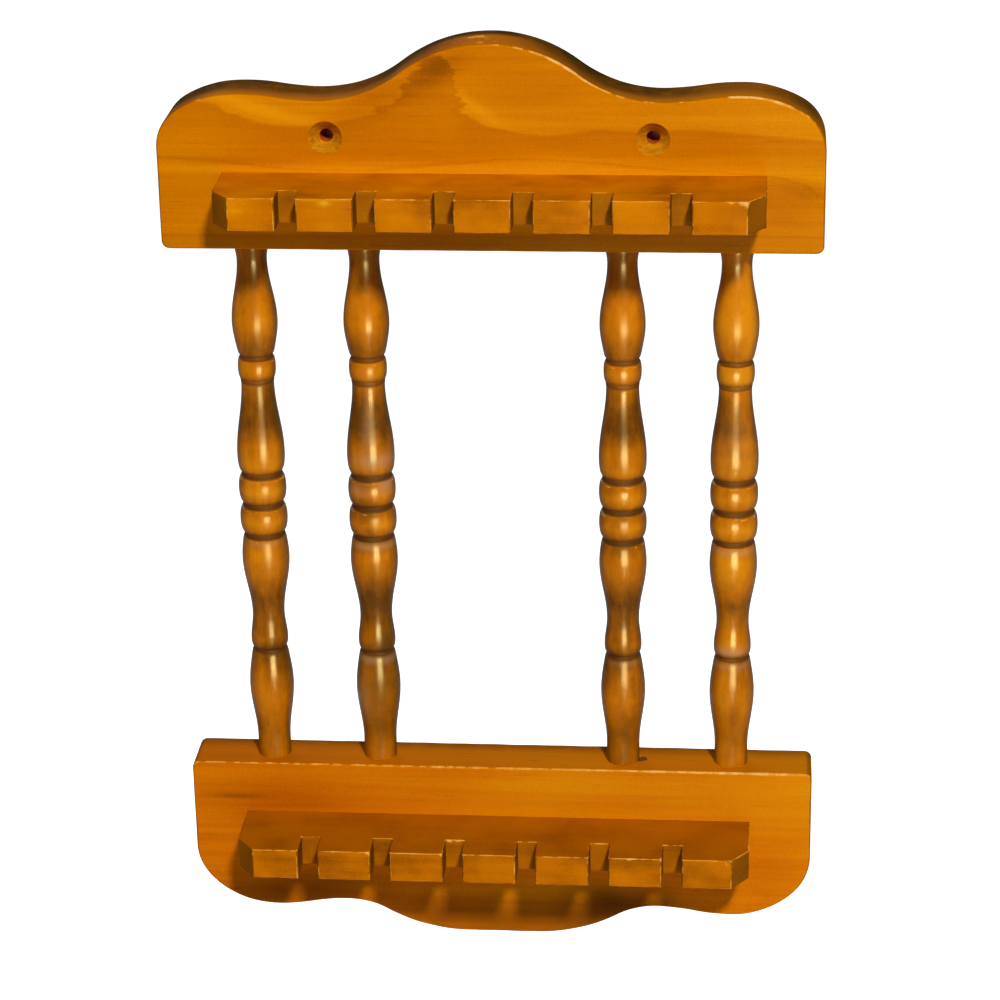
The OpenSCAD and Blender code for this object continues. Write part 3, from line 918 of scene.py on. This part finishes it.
def top_bands(finish, x, y, z):
    """The top rail's rings: three lines drawn along its face, one with a sharp peak left of the middle."""
    wander = finish.noise((28, 28, 70), (3, 0, 3), 4.0, 0.55)
    bend = finish.times(y, y)
    z = finish.add(z, (wander, TOP_WANDER), -TOP_WANDER / 2, (bend, TOP_BEND), -TOP_BEND_AT_FRONT)
    torn = finish.noise((16, 16, 330), (5, 0, 2), 3.0, 0.6)
    along = finish.add(x, (torn, TOP_TORN), RAIL_HALF - TOP_TORN / 2)
    along = finish.math("DIVIDE", along, 2 * RAIL_HALF)
    heights = []
    for line in TOP_LINES:
        at, level = np.array(line).T / 1000
        points = zip((at + RAIL_HALF) / (2 * RAIL_HALF), (level - LINE_LOW) / LINE_SPAN)
        drawn = finish.curve(along, list(points))
        heights.append(finish.math("MULTIPLY_ADD", drawn, LINE_SPAN, LINE_LOW))
    lowest = finish.math("SUBTRACT", heights[0], FIRST_RING_H)
    highest = finish.math("ADD", heights[-1], LAST_RING_H)
    levels = [lowest, *heights, highest]
    shares = [between(finish, z, low, high) for low, high in zip(levels, levels[1:])]
    return finish.add(*shares)


def bottom_bands(finish, x, y, z):
    """The bottom rail's rings: close, nearly straight and slightly tilted."""
    wander = finish.noise((4, 12, 20), (8, 0, 8), 3.0, 0.45)
    bend = finish.times(finish.times(y, y), BOTTOM_BEND)
    height = finish.add(z, (wander, BOTTOM_WANDER), (x, BOTTOM_TILT), bend, -BOTTOM_RINGS_FROM)
    return finish.math("DIVIDE", height, BOTTOM_RING_H)


def comb_pine(name, palette, seed, up_dark, filled):
    """Narrow-ringed pine along X, a little darker than the rails.

    filled is the strength of the lump of yellow filler on the front of the second block.
    """
    finish = Finish(name)
    x, y, z = finish.axes(finish.place)
    fibre = finish.noise((26, 900, 1300), (seed, seed, 0), 3.0, 0.6)
    streak = finish.noise((14, 130, 220), (0, seed, seed), 3.0, 0.55)
    blotch = finish.noise((50, 60, 60), (seed, 1, 2), 3.0, 0.5)
    speck = finish.noise((1100, 1100, 1100), (seed, 0, 0), 1.0, 0.5)
    tone = finish.add((fibre, 0.18), (streak, 0.36), (blotch, 0.95), (speck, 0.2), -0.3)
    colour = finish.ramp(tone, palette)
    end = finish.math("ABSOLUTE", finish.facing[0])
    colour = weathered_and_lit(finish, colour, end, seed, up_dark)
    if filled > 0:
        front = finish.span(finish.facing[1], -0.6, -0.9)
        lump = finish.times(finish.spot(x, z, FILLER_AT, (0.0024, 0.0013)), 0.85)
        strip = finish.times(finish.spot(x, z, FILLER_SMEAR_AT, (0.011, 0.0006)), 0.4)
        filling = finish.times(finish.math("MAXIMUM", lump, strip), front)
        colour = finish.mix(finish.times(filling, filled), colour, FILLER)
    return varnished(finish, colour, satin(finish, seed, end, 0.38, 0.55), fibre, 0.00005, 0.018)


def spindle_pine(name, bias, seed):
    """Fine straight grain along Z in a glossier coat, with stain and painted shade at the grooves, painted
    shade on the sides and back, and pale marks that are partly painted highlights.

    The painted tone makes wide places amber and narrow ones brown, and bias moves it.
    """
    finish = Finish(name)
    fibre = finish.noise((900, 900, 24), (seed, seed, 0), 3.0, 0.6)
    streak = finish.noise((160, 160, 9), (0, seed, seed), 3.0, 0.55)
    blotch = finish.noise((60, 60, 32), (seed, 1, 2), 3.0, 0.5)
    mottle = finish.noise((280, 280, 190), (seed, 8, 3), 3.0, 0.6)
    patchy = finish.add((fibre, 0.2), (streak, 0.6), (blotch, 0.75), (mottle, 0.42), -0.985)
    tone = finish.add(finish.painted("tone"), bias, patchy)
    colour = finish.ramp(tone, TURNED_COLOURS)
    # Painted shade: each spindle's sides and back are darkened toward olive
    side = finish.span(finish.facing[1], -0.86, -0.15, 0.0, 0.8)
    colour = finish.mix(side, colour, OLIVE)
    # Pale marks, partly pale patches in the finish and partly painted highlights
    colour = finish.mix(finish.painted("bloom_and_highlight"), colour, PINK_BEIGE)
    colour = finish.mix(finish.painted("soot"), colour, OLIVE)
    colour = weathered_and_lit(finish, colour, 0.0, seed, 0.0)
    rough = finish.span(finish.noise((60, 60, 60), (seed, 5, 5), 3.0, 0.5), 0.3, 0.7, 0.2, 0.3)
    rough = finish.math("MULTIPLY_ADD", finish.painted("stain_and_shade"), 0.5, rough)
    return varnished(finish, colour, rough, fibre, 0.00003, 0.12, GLOSS_TINT)


def dried_glue():
    """Brown glue, set hard and shiny."""
    finish = Finish("dried_glue")
    patch = finish.noise((900, 900, 900), (4, 0, 0), 3.0, 0.5)
    finish.give("Base Color", finish.ramp(patch, [(0.3, DARK_BROWN), (0.8, GLUE)]))
    finish.give("Roughness", finish.span(patch, 0.2, 0.8, 0.4, 0.6))
    finish.give("Specular IOR Level", 0.07)
    return finish.material


def cut_pine():
    """The countersinks' cut wood, olive yellow under thin varnish."""
    finish = Finish("cut_pine")
    fibre = finish.noise((120, 700, 900), (6, 0, 0), 3.0, 0.6)
    colour = finish.ramp(fibre, [(0.3, CUT_DARK), (0.7, CUT_PALE)])
    return varnished(finish, colour, finish.span(fibre, 0.2, 0.8, 0.5, 0.7), fibre, 0.00004, 0.024)


def raw_pine():
    """Unvarnished wood inside the bores, darkened by the drill and by age."""
    finish = Finish("raw_pine")
    fibre = finish.noise((300, 900, 900), (1, 0, 0), 3.0, 0.6)
    finish.give("Base Color", finish.ramp(fibre, [(0.3, RUST), (0.8, RAW)]))
    finish.give("Roughness", finish.span(fibre, 0.2, 0.8, 0.85, 1.0))
    finish.give("Specular IOR Level", 0.05)
    return finish.material


def screw_zinc():
    """Yellow zinc plate on the screws: brushed metal with dull patches."""
    finish = Finish("screw_zinc")
    patch = finish.noise((500, 500, 500), (2, 1, 0), 4.0, 0.6)
    finish.give("Base Color", finish.ramp(patch, [(0.3, ZINC_DULL), (0.6, ZINC_BRIGHT)]))
    finish.give("Metallic", 1.0)
    finish.give("Roughness", finish.span(patch, 0.3, 0.7, 0.25, 0.5))
    finish.grain(finish.noise((3000, 400, 3000), (0, 0, 0), 2.0, 0.5), 0.00002)
    return finish.material


def arris_of(part, low=0.3, high=0.96):
    """Which points lie on an arris: one part of their normal is neither square on nor level."""
    return (np.abs(part) > low) & (np.abs(part) < high)


def looking_up(normals):
    """How much each point looks up: its normal's height times 1.6, less 0.2, held from 0 to 1."""
    return np.clip(normals[:, 2] * 1.6 - 0.2, 0, 1)


def paint_top_rail(piece):
    """Grime on the edge that looks up, but for the handled crest, and pale wood along its front arris, worn
    and partly a painted highlight.
    """
    points, normals = points_of(piece), normals_of(piece)
    x, y, z = points.T
    up = looking_up(normals)
    front = hump(y, RAIL_FRONT, 0.0075)
    bore = np.hypot(np.abs(x) - WALL_HOLE_X, z)
    handled = hump(x, -0.001, 0.02) * np.clip((-y - 0.005) / 0.004, 0, 1)
    clear = (z > 0) & (bore > WALL_SINK_R + OFF_EDGE)
    cleaner = 1 - humps(x, TOP_CLEANER)
    paint(piece, "grime_and_darkening", up * (1 - 0.85 * front) * (1 - 0.92 * handled) * clear * cleaner * 0.95)
    paint(piece, "stain_and_shade", x * 0)
    arris = arris_of(normals[:, 1]) & (y < RAIL_FRONT / 2)
    arris &= (bore > WALL_SINK_R + OFF_EDGE) & (z > TOP_EDGE + OFF_EDGE)
    # Pale worn arris, partly a painted highlight
    pale_level = arris * (0.25 + humps(x, TOP_WORN))
    paint(piece, "wear_and_highlight", np.maximum(pale_level, (up > 0.5) * 0.53 * hump(x, -0.008, 0.014) * handled))


def paint_bottom_rail(piece):
    """Pale wood along the front arris of the top edge, worn and partly a painted highlight, and grime at
    the back of it.
    """
    points, normals = points_of(piece), normals_of(piece)
    x, y, z = points.T
    top = z > BOTTOM_EDGE - OFF_EDGE
    arris = arris_of(normals[:, 1]) & (y < RAIL_FRONT / 2) & top
    up = looking_up(normals)
    paint(piece, "grime_and_darkening", up * hump(y, 0, 0.006) * top * 0.6)
    paint(piece, "stain_and_shade", x * 0)
    # Pale worn arris, partly a painted highlight
    paint(piece, "wear_and_highlight", arris * (0.66 + humps(x, BOTTOM_WORN)))


def paint_comb(piece, node):
    """Bare wood on the arrises round the blocks' faces, at each nick and at a knocked corner.

    The notches are painted darker.
    """
    low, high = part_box(node)
    middle, deep = COMB_CUTS[node]
    front = RAIL_FRONT - COMB_DEEP
    nicks = np.array([(x, y, high.z - OFF_FACE) for x, y in NICKS[node]])
    nicked = chip(piece, nicks, NICK_R, NICK_DEEP)
    if node == "lower_comb":
        corner = np.array([(high.x - NOSE_X, front, high.z)])
        nicked = np.maximum(nicked, 0.6 * chip(piece, corner, BROKEN_R, BROKEN_DEEP))
    points, normals = points_of(piece), normals_of(piece)
    x, y, z = points.T
    nose = (np.abs(normals[:, 0]) * NOSE_Y - normals[:, 1] * NOSE_X) / math.hypot(NOSE_X, NOSE_Y) > 0.99
    at_corner = (y < front + UPRIGHT_W) | (np.minimum(x - low.x, high.x - x) < UPRIGHT_W)
    upright = arris_of(normals[:, 0], 0.15, 0.97) & ~nose & at_corner & (np.abs(normals[:, 2]) < 0.3)
    slot = np.abs(((x - middle) / NOTCH_PITCH + NOTCHES / 2) % 1 - 0.5) * NOTCH_PITCH
    in_notch = (slot < NOTCH_W / 2 + OFF_FACE) & (np.abs(x - middle) < NOTCHES * NOTCH_PITCH / 2)
    in_notch &= (y > front + MOUTH_W) & (y < front + deep + OFF_FACE)
    level = arris_of(normals[:, 2]) & (y < RAIL_FRONT - RAIL_STRIP) & ~in_notch
    notch_back = arris_of(normals[:, 2]) & in_notch & (y > front + deep - FRONT_STRIP)
    notch_back &= z > comb_middle(node)
    # The notches are painted darker
    paint(piece, "grime_and_darkening", in_notch * NOTCH_DARKENING[node])
    paint(piece, "stain_and_shade", x * 0)
    level_wear = LEVEL_WEAR[node] * np.where(x < low.x + NOSE_X - LEFT_CUT_EDGE, 0.45, 1)
    pale_level = level * level_wear + (upright & ~level) * 0.6 + notch_back * (LEVEL_WEAR[node] - 0.05)
    away = (high.x - NOSE_X + KNOCKED_PAST - x) / KNOCKED_W + (high.z - z) / KNOCKED_H
    knocked = np.clip(1.3 - away, 0, 1) * (y < front + FRONT_STRIP) * (away < 1) * (node == "upper_comb")
    knocked = knocked * (np.abs(normals[:, 2]) < 0.96)
    paint(piece, "wear_and_highlight", np.maximum(pale_level, np.maximum(nicked * 1.4, knocked)))


def paint_spindle(piece, node):
    """The tone of each height, stain with painted shade at the grooves, a pale rim under each that is worn
    wood and a painted highlight, and marks, some of them painted highlights.
    """
    points = points_of(piece)
    x, y, z = points.T
    height = z - BOTTOM_EDGE
    turn = np.degrees(np.arctan2(x - spindle_x(node), SPINDLE_Y - y))
    stain_and_shade, rim = x * 0, x * 0
    dark_at, dark_level = np.array(GROOVE_STAIN_AND_SHADE).T
    rim_at, pale_level = np.array(GROOVE_RIM).T
    for at, strength in GROOVES:
        stain_and_shade = np.maximum(stain_and_shade, strength * np.interp(height - at, dark_at, dark_level))
        rim = np.maximum(rim, np.interp(height - at, rim_at, pale_level))
    heights, tones = np.array(SPINDLE_TONE).T
    paint(piece, "tone", np.interp(height, heights / 1000, tones))
    paint(piece, "grime_and_darkening", x * 0)
    paint(piece, "stain_and_shade", stain_and_shade)
    paint(piece, "wear_and_highlight", rim * 0.6)
    for kind in ("bloom_and_highlight", "soot"):
        marks = [mark[1:] for mark in SPINDLE_MARKS.get(node, ()) if mark[0] == kind]
        total = sum((hump(height, at / 1000, wide / 1000) * hump(turn, side, spread) * strength
                     for at, wide, side, spread, strength in marks), x * 0)
        paint(piece, kind, total)


def line_bores(piece, raw, cut):
    """Gives the raw wood to every face in a bore or a mortise, and the cut wood to the countersinks."""
    piece.data.materials.append(raw)
    piece.data.materials.append(cut)
    faces = piece.data.polygons
    flat = np.zeros(len(faces) * 3)
    faces.foreach_get("center", flat)
    x, y, z = flat.reshape(-1, 3).T
    depth = (y < -OFF_FACE) & (y > RAIL_FRONT + OFF_FACE)
    from_wall_hole = np.hypot(np.abs(x) - WALL_HOLE_X, z)
    wall = from_wall_hole < WALL_HOLE_R + NEAR
    cone = depth & ~wall & (from_wall_hole < WALL_SINK_R)
    node = "upper_comb" if z.mean() > BOTTOM_EDGE else "lower_comb"
    screw = np.zeros(len(x), bool)
    for at in comb_screw_xs(node):
        screw |= np.hypot(x - at, z - comb_middle(node)) < SCREW_HEAD_R
    edge = TOP_EDGE if z.mean() > BOTTOM_EDGE else BOTTOM_EDGE
    inner = np.abs(z - edge) > OFF_FACE
    mortise = np.zeros(len(x), bool)
    for at in SPINDLE_XS:
        mortise |= (np.hypot(x - at, y - SPINDLE_Y) < MORTISE_R + NEAR) & inner
    inside = (depth & (wall | screw)) | (mortise & (np.abs(z - edge) < MORTISE_LEN + PAST))
    faces.foreach_set("material_index", np.where(cone, 2, inside).astype(np.int32))


def dress(piece, node, material):
    """Puts a finished piece in its solid's place, on the rack's one body."""
    piece.data.materials.clear()
    piece.data.materials.append(material)
    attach(piece, "root")
    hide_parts(node)


# Lines of the top rail's rings on its front face, as places and heights in millimetres
TOP_LINES = (
    ((-125, -38.9), (127, -37.5)),
    ((-127, -7.8), (-116, -8.6), (-100.6, -9.7), (-77.7, -11.9), (-49, -12.5), (-7, -9.4), (6, -8.1),
     (27, -8), (42, -9.1), (72, -11.6), (103, -13.7), (114, -15.6), (127, -22)),
    ((-127, 11), (-113, 13), (-105, 12.4), (-98, 8.3), (-84.4, 5), (-70.8, 4), (-58, 5.5), (-45, 8.6),
     (-37, 13.5), (-31, 21), (-25, 28), (-19, 31.5), (-14.5, 30), (-12.6, 19), (-10, 12.6), (-4.6, 7.3),
     (3.6, 3.4), (14.4, 1.2), (27.8, 1.7), (42.7, 2.9), (57.7, 2.4), (81.5, 3), (102.7, 1.5), (127, -0.4)),
)
# The lowest height that such a line can have, and the range above it
LINE_LOW, LINE_SPAN = -0.048, 0.08
# How far those lines wander up and down and along, and how the rings bend with the depth
TOP_WANDER = 0.0024
TOP_TORN = 0.02
TOP_BEND, TOP_BEND_AT_FRONT = 3.0, 0.0015
# Height of the ring below the lowest line, and of the one above the highest
FIRST_RING_H, LAST_RING_H = 0.02, 0.042
# The bottom rail's rings: where they start, their height, and how they wander, tilt and bend
BOTTOM_RINGS_FROM, BOTTOM_RING_H = -0.362, 0.024
BOTTOM_WANDER, BOTTOM_TILT, BOTTOM_BEND = 0.012, 0.02, 10.0
# Marks on the rails' faces: middle, size, tilt in degrees, and how much lighter they are
TOP_MARKS = (
    ((-0.0185, 0.027), (0.011, 0.006), 30, -0.3),
    ((-0.0875, 0.0115), (0.02, 0.0026), -16, 0.22),
    ((-0.044, 0.0145), (0.018, 0.006), 25, -0.2),
    ((0.0, -0.0125), (0.12, 0.003), 0, 0.25),
    ((-0.005, 0.0125), (0.011, 0.0024), -34, 0.16),
    # The next mark, darker right of the upper comb's end, is a painted shadow of the comb
    ((0.118, -0.019), (0.014, 0.0035), -14, -0.26),
    ((0.112, -0.028), (0.018, 0.01), 0, -0.2),
    ((-0.1, -0.009), (0.024, 0.002), 0, -0.16),
)
BOTTOM_MARKS = (
    ((-0.109, -0.281), (0.012, 0.0012), 0, -0.22),
    ((0.105, -0.315), (0.03, 0.02), 0, -0.2),
    ((0.0, -0.284), (0.06, 0.012), 0, 0.12),
    ((-0.09, -0.286), (0.035, 0.014), 0, -0.12),
    ((0.09, -0.283), (0.03, 0.01), 0, 0.1),
)
# Painted shadows on their front faces, under the upper comb and under the lower comb, where they also dim
# the light through its notches: middle, size, tilt in degrees, and strength
TOP_SHADES = (((-0.01, -0.041), (0.1, 0.0045), 0, 0.4),)
BOTTOM_SHADES = (
    ((0.004, -0.335), (0.05, 0.013), 0, 0.6),
    ((0.046, -0.327), (0.013, 0.008), -20, 0.75),
    ((-0.083, -0.324), (0.036, 0.009), 4, 0.62),
    ((-0.027, -0.332), (0.006, 0.009), 0, 0.45),
    ((0.034, -0.332), (0.012, 0.01), 0, 0.6),
    ((0.061, -0.328), (0.012, 0.009), 0, 0.72),
)
# Each ring's tones, from its line up to the next, as (share of the way, tone)
TOP_TONES = (
    ((0.0, 0.5), (0.4, 0.6), (0.75, 0.74), (0.94, 0.72), (0.99, 0.45)),
    ((0.0, 0.36), (0.03, 0.82), (0.2, 0.64), (0.6, 0.6), (0.86, 0.8), (0.96, 0.96), (0.995, 0.62)),
    ((0.0, 0.55), (0.04, 0.92), (0.2, 0.84), (0.42, 0.7), (0.7, 0.5), (0.96, 0.3)),
    ((0.0, 0.28), (0.03, 0.95), (0.18, 0.84), (0.45, 0.6), (0.8, 0.54), (1.0, 0.5)),
)
BOTTOM_TONES = (((0.0, 0.3), (0.05, 0.8), (0.3, 0.6), (0.7, 0.45), (0.95, 0.3)),) * 5
# Pale wood on each rail's front arris, worn and partly a painted highlight, as its place, its width and how
# much more of it there is
TOP_WORN = ((0.033, 0.03, 0.72), (0.103, 0.016, 0.8), (-0.012, 0.018, -0.2), (-0.11, 0.008, 0.25))
BOTTOM_WORN = ((0.085, 0.05, 0.3),)
# Cleaner places on the top rail's upper edge, given in the same way
TOP_CLEANER = ((0.098, 0.026, 0.32), (-0.062, 0.02, 0.16))
# Each comb's colours, how much darker its top is, and how strongly its filler shows
COMB_LOOKS = {
    "upper_comb": ([(0.25, DEEP), (0.48, ORANGE), (0.72, AMBER), (0.92, HONEY)], 0.2, 1.0),
    "lower_comb": ([(0.3, DEEP), (0.55, ORANGE), (0.82, AMBER), (1.0, HONEY)], 0.65, 0.0),
}
# Nicks along the top front arris of each comb, as (x, y)
NICKS = {
    "upper_comb": ((0.0925, -0.0555), (0.0974, -0.0553), (0.1049, -0.0465), (-0.1021, -0.0465)),
    "lower_comb": (
        (-0.0509, -0.0555), (-0.021, -0.0555), (0.0161, -0.0555), (0.0546, -0.0555), (0.0674, -0.0555),
        (0.0885, -0.0555), (-0.0188, -0.0435), (-0.0155, -0.0435),
    ),
}
NICK_R, NICK_DEEP = 0.0014, 0.0005
# The lower comb's broken corner, and the upper comb's knocked one
BROKEN_R, BROKEN_DEEP = 0.003, 0.0008
KNOCKED_PAST, KNOCKED_W, KNOCKED_H = 0.0008, 0.009, 0.0034
# How far from a comb's corners its upright arrises are worn
UPRIGHT_W = 0.0012
# Other bands on a comb: in a notch's mouth, at a front or a notch's back, at its rail and at its left cut
MOUTH_W = 0.001
FRONT_STRIP = 0.0006
RAIL_STRIP = 0.004
LEFT_CUT_EDGE = 0.0005
# How worn the level arrises of each comb are, and how dark its notches
LEVEL_WEAR = {"upper_comb": 0.68, "lower_comb": 0.74}
NOTCH_DARKENING = {"upper_comb": 0.38, "lower_comb": 0.22}
# Middle of the lump of filler, and of the smear above it
FILLER_AT = (-0.0586, -0.0153)
FILLER_SMEAR_AT = (FILLER_AT[0], FILLER_AT[1] + 0.0012)
# Tones of a spindle's heights, in millimetres
SPINDLE_TONE = (
    (0, 0.66), (14, 0.52), (30, 0.75), (42, 0.5), (48, 0.3), (54, 0.6), (60, 0.5), (72, 0.25), (84, 0.7),
    (92, 0.8), (99, 0.45), (103, 0.72), (105.5, 0.9), (109, 0.66), (112, 0.45), (116, 0.72),
    (118.5, 0.9), (122, 0.66), (125, 0.5), (130, 0.85), (138, 0.72), (147, 0.28), (156, 0.38),
    (163, 0.6), (170, 0.9), (178, 0.5), (190, 0.85), (200, 0.7), (208, 0.6), (221, 0.55),
)
# Each groove's height, and how dark its stain and painted shade are
GROOVES = (
    (FOOT_H, 0.75), (BEAD_Z, 0.9), (MID_BEAD_Z, 0.9), (BALUSTER_Z, 0.9), (COLLAR_Z, 0.7), (TOP_VASE_Z, 0.8),
)
# Stain in a groove, with painted shade on the underside of the part above it, as (height above its middle,
# strength)
GROOVE_STAIN_AND_SHADE = ((-0.0014, 0), (-0.0009, 1), (0.0005, 0.9), (0.003, 0))
# The pale rim under a groove, worn wood and a painted highlight where the rim faces the light, given in the
# same way
GROOVE_RIM = ((-0.0028, 0), (-0.0019, 1), (-0.0014, 0))
# How much lighter each spindle is than the others
SPINDLE_BIAS = {
    "spindle_outer_left": -0.07,
    "spindle_inner_left": -0.14,
    "spindle_inner_right": -0.1,
    "spindle_outer_right": 0.07,
}
# Marks on the spindles: kind, height and width in mm, angle and its spread in degrees, and strength.
# The pale rings just under the foot's and the urn's grooves, the band low on the outer right bell and
# the narrow upright strip on the inner left baluster are painted highlights; the other pale marks are
# pale patches in the finish.
SPINDLE_MARKS = {
    "spindle_inner_left": (
        ("bloom_and_highlight", 28, 8, -50, 28, 0.5), ("bloom_and_highlight", 45.5, 1.5, 0, 110, 0.45), ("bloom_and_highlight", 96, 1.4, 0, 90, 0.45),
        ("bloom_and_highlight", 122, 3, 45, 25, 0.5), ("bloom_and_highlight", 133, 3, 20, 60, 0.45), ("bloom_and_highlight", 120, 2.5, -35, 30, 0.3),
        ("bloom_and_highlight", 148, 12, 2, 16, 0.3), ("soot", 54, 5, 38, 35, 0.75), ("soot", 34, 9, 15, 70, 0.55),
        ("soot", 14, 12, 10, 90, 0.3),
    ),
    "spindle_outer_right": (
        ("bloom_and_highlight", 52, 2.2, -10, 60, 0.6), ("bloom_and_highlight", 96, 1.2, 0, 80, 0.4), ("bloom_and_highlight", 45.5, 1.2, 0, 80, 0.35),
        ("soot", 138, 2.0, 0, 90, 0.2), ("bloom_and_highlight", 143, 14, 0, 60, 0.08), ("soot", 18, 16, 0, 120, 0.15),
    ),
    "spindle_outer_left": (("bloom_and_highlight", 96.5, 1, 0, 60, 0.25),),
    "spindle_inner_right": (("bloom_and_highlight", 46, 1, 10, 60, 0.25), ("soot", 12, 8, -30, 60, 0.3)),
}


def rack():
    """Every piece of the rack, with its wear, grime, painted light and shade, and finish."""
    raw, cut = raw_pine(), cut_pine()
    rail = top_rail()
    paint_top_rail(rail)
    wood = rail_pine(
        "top_rail_pine", top_bands, seed=3.0, tones=TOP_TONES, weight=0.33, bias=0.045, rise=0.22,
        marks=TOP_MARKS, shades=TOP_SHADES, shade_colour=OLIVE, palette=(DEEP, ORANGE, AMBER, HONEY),
    )
    dress(rail, "top_rail", wood)
    line_bores(rail, raw, cut)
    rail = bottom_rail()
    paint_bottom_rail(rail)
    wood = rail_pine(
        "bottom_rail_pine", bottom_bands, seed=8.0, tones=BOTTOM_TONES, weight=0.14, bias=0.24, rise=0.85,
        marks=BOTTOM_MARKS, shades=BOTTOM_SHADES, shade_colour=SHADOW_BROWN, palette=(DEEP, RUSSET, COPPER, HONEY),
    )
    dress(rail, "bottom_rail", wood)
    line_bores(rail, raw, cut)
    for seed, (node, (palette, up_dark, filled)) in enumerate(COMB_LOOKS.items()):
        piece = comb(node, seed)
        paint_comb(piece, node)
        dress(piece, node, comb_pine(node + "_pine", palette, 11.0 + seed, up_dark, filled))
    for seed, (node, bias) in enumerate(SPINDLE_BIAS.items()):
        piece = spindle(node)
        paint_spindle(piece, node)
        dress(piece, node, spindle_pine(node + "_pine", bias, 21.0 + 3 * seed))
    lump = glue_bead()
    lump.data.materials.append(dried_glue())
    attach(lump, "root")
    zinc = screw_zinc()
    for node in ("upper_comb_screws", "lower_comb_screws"):
        frame["nodes"][node].data.materials.clear()
        frame["nodes"][node].data.materials.append(zinc)


# The room
FLOOR_Z = -1.45
FLOOR_SIDE = 30.0
FLOOR_DARK = (0.86, 0.86, 0.85, 1)
FLOOR_LIGHT = (0.9, 0.9, 0.9, 1)
WHITE = (1, 1, 1, 1)
# The floor's own glow, weaker below the rack than far from it, as (distance, strength)
GLOW_NEAR, GLOW_FAR = (1.6, 0.62), (3.0, 0.95)
CAMERA_AT = (0.1014, -1.1775, 0.3321)
CAMERA_TURN, CAMERA_TIP, CAMERA_ROLL = 4.914, 22.449, -1.004
CAMERA_LENS = 114.6
CAMERA_SENSOR = 36
# Strength of the light from all round
ROOM_LIGHT = 0.14
# Each lamp: azimuth, elevation, how far away, width, height, power, and if only reflections show it
LAMPS = {
    "key": (18, 43, 4.0, 0.36, 0.36, 141, False),
    "glint": (13.8, -12, 0.7, 0.33, 0.16, 14, True),
    "low_glint": (13.8, -28, 0.7, 0.06, 0.06, 0.7, True),
    "rear": (205, 20, 3.0, 1.5, 1.5, 30, False),
}


def camera():
    """The photograph's view: turned left and tipped down at the rack, with a slight roll."""
    made = bpy.data.objects.new("camera", bpy.data.cameras.new("camera"))
    bpy.context.scene.collection.objects.link(made)
    made.data.lens = CAMERA_LENS
    made.data.sensor_width = CAMERA_SENSOR
    turn, tip, roll = (math.radians(a) for a in (CAMERA_TURN, 90 - CAMERA_TIP, CAMERA_ROLL))
    made.matrix_world = (
        Matrix.Translation(CAMERA_AT) @ Matrix.Rotation(turn, 4, "Z")
        @ Matrix.Rotation(tip, 4, "X") @ Matrix.Rotation(roll, 4, "Z")
    )
    bpy.context.scene.camera = made


def lamp(name, azimuth, elevation, away, width, height, power, only_gloss):
    """A soft rectangular lamp that faces the rack's middle from an azimuth, 0 in front and 90 right."""
    made = bpy.data.objects.new(name, bpy.data.lights.new(name, "AREA"))
    bpy.context.scene.collection.objects.link(made)
    made.data.shape = "RECTANGLE"
    made.data.size = width
    made.data.size_y = height
    made.data.energy = power
    made.visible_camera = False
    made.visible_diffuse = not only_gloss
    turn, rise = math.radians(azimuth), math.radians(elevation)
    middle = Matrix.Translation((0, 0, (TOP_EDGE + BOTTOM_EDGE) / 2))
    made.matrix_world = (
        middle @ Matrix.Rotation(turn, 4, "Z") @ Matrix.Rotation(math.pi / 2 - rise, 4, "X")
        @ Matrix.Translation((0, 0, away))
    )


def world():
    """A plain grey light for the surfaces, which the camera and reflections see as white."""
    made = bpy.data.worlds.new("room")
    bpy.context.scene.world = made
    made.use_nodes = True
    tree = made.node_tree
    output = tree.nodes["World Output"]
    light = tree.nodes["Background"]
    light.inputs["Color"].default_value = WHITE
    light.inputs["Strength"].default_value = ROOM_LIGHT
    white = tree.nodes.new("ShaderNodeBackground")
    white.inputs["Color"].default_value = WHITE
    path = tree.nodes.new("ShaderNodeLightPath")
    seen = path.outputs["Is Camera Ray"]
    for kind in ("Is Glossy Ray", "Is Transmission Ray"):
        either = tree.nodes.new("ShaderNodeMath")
        either.operation = "MAXIMUM"
        tree.links.new(seen, either.inputs[0])
        tree.links.new(path.outputs[kind], either.inputs[1])
        seen = either.outputs[0]
    mix = tree.nodes.new("ShaderNodeMixShader")
    tree.links.new(seen, mix.inputs[0])
    tree.links.new(light.outputs[0], mix.inputs[1])
    tree.links.new(white.outputs[0], mix.inputs[2])
    tree.links.new(mix.outputs[0], output.inputs[0])


def floor():
    """A plain pale floor, far enough below that the rack hangs at its height on a wall."""
    half = FLOOR_SIDE / 2
    corners = np.array([(-half, -half), (half, -half), (half, half), (-half, half)])
    points = np.column_stack([corners, np.full(4, FLOOR_Z)])
    made = new_piece("floor", points, [[0, 1, 2, 3]])
    finish = Finish("floor_paint")
    grain = finish.noise((3, 3, 3), (0, 0, 0), 4.0, 0.5)
    finish.give("Base Color", finish.ramp(grain, [(0.3, FLOOR_DARK), (0.7, FLOOR_LIGHT)]))
    finish.give("Roughness", 0.9)
    finish.give("Emission Color", WHITE)
    near = finish.node("VectorMath", {0: finish.place}, "Value", operation="LENGTH")
    glow = finish.span(near, GLOW_NEAR[0], GLOW_FAR[0], GLOW_NEAR[1], GLOW_FAR[1])
    seen = finish.node("LightPath", {}, "Is Camera Ray")
    finish.give("Emission Strength", finish.times(glow, seen))
    made.data.materials.append(finish.material)


camera()
rack()
floor()
world()
for lamp_name, values in LAMPS.items():
    lamp(lamp_name, *values)
bpy.context.scene.view_settings.view_transform = "Standard"
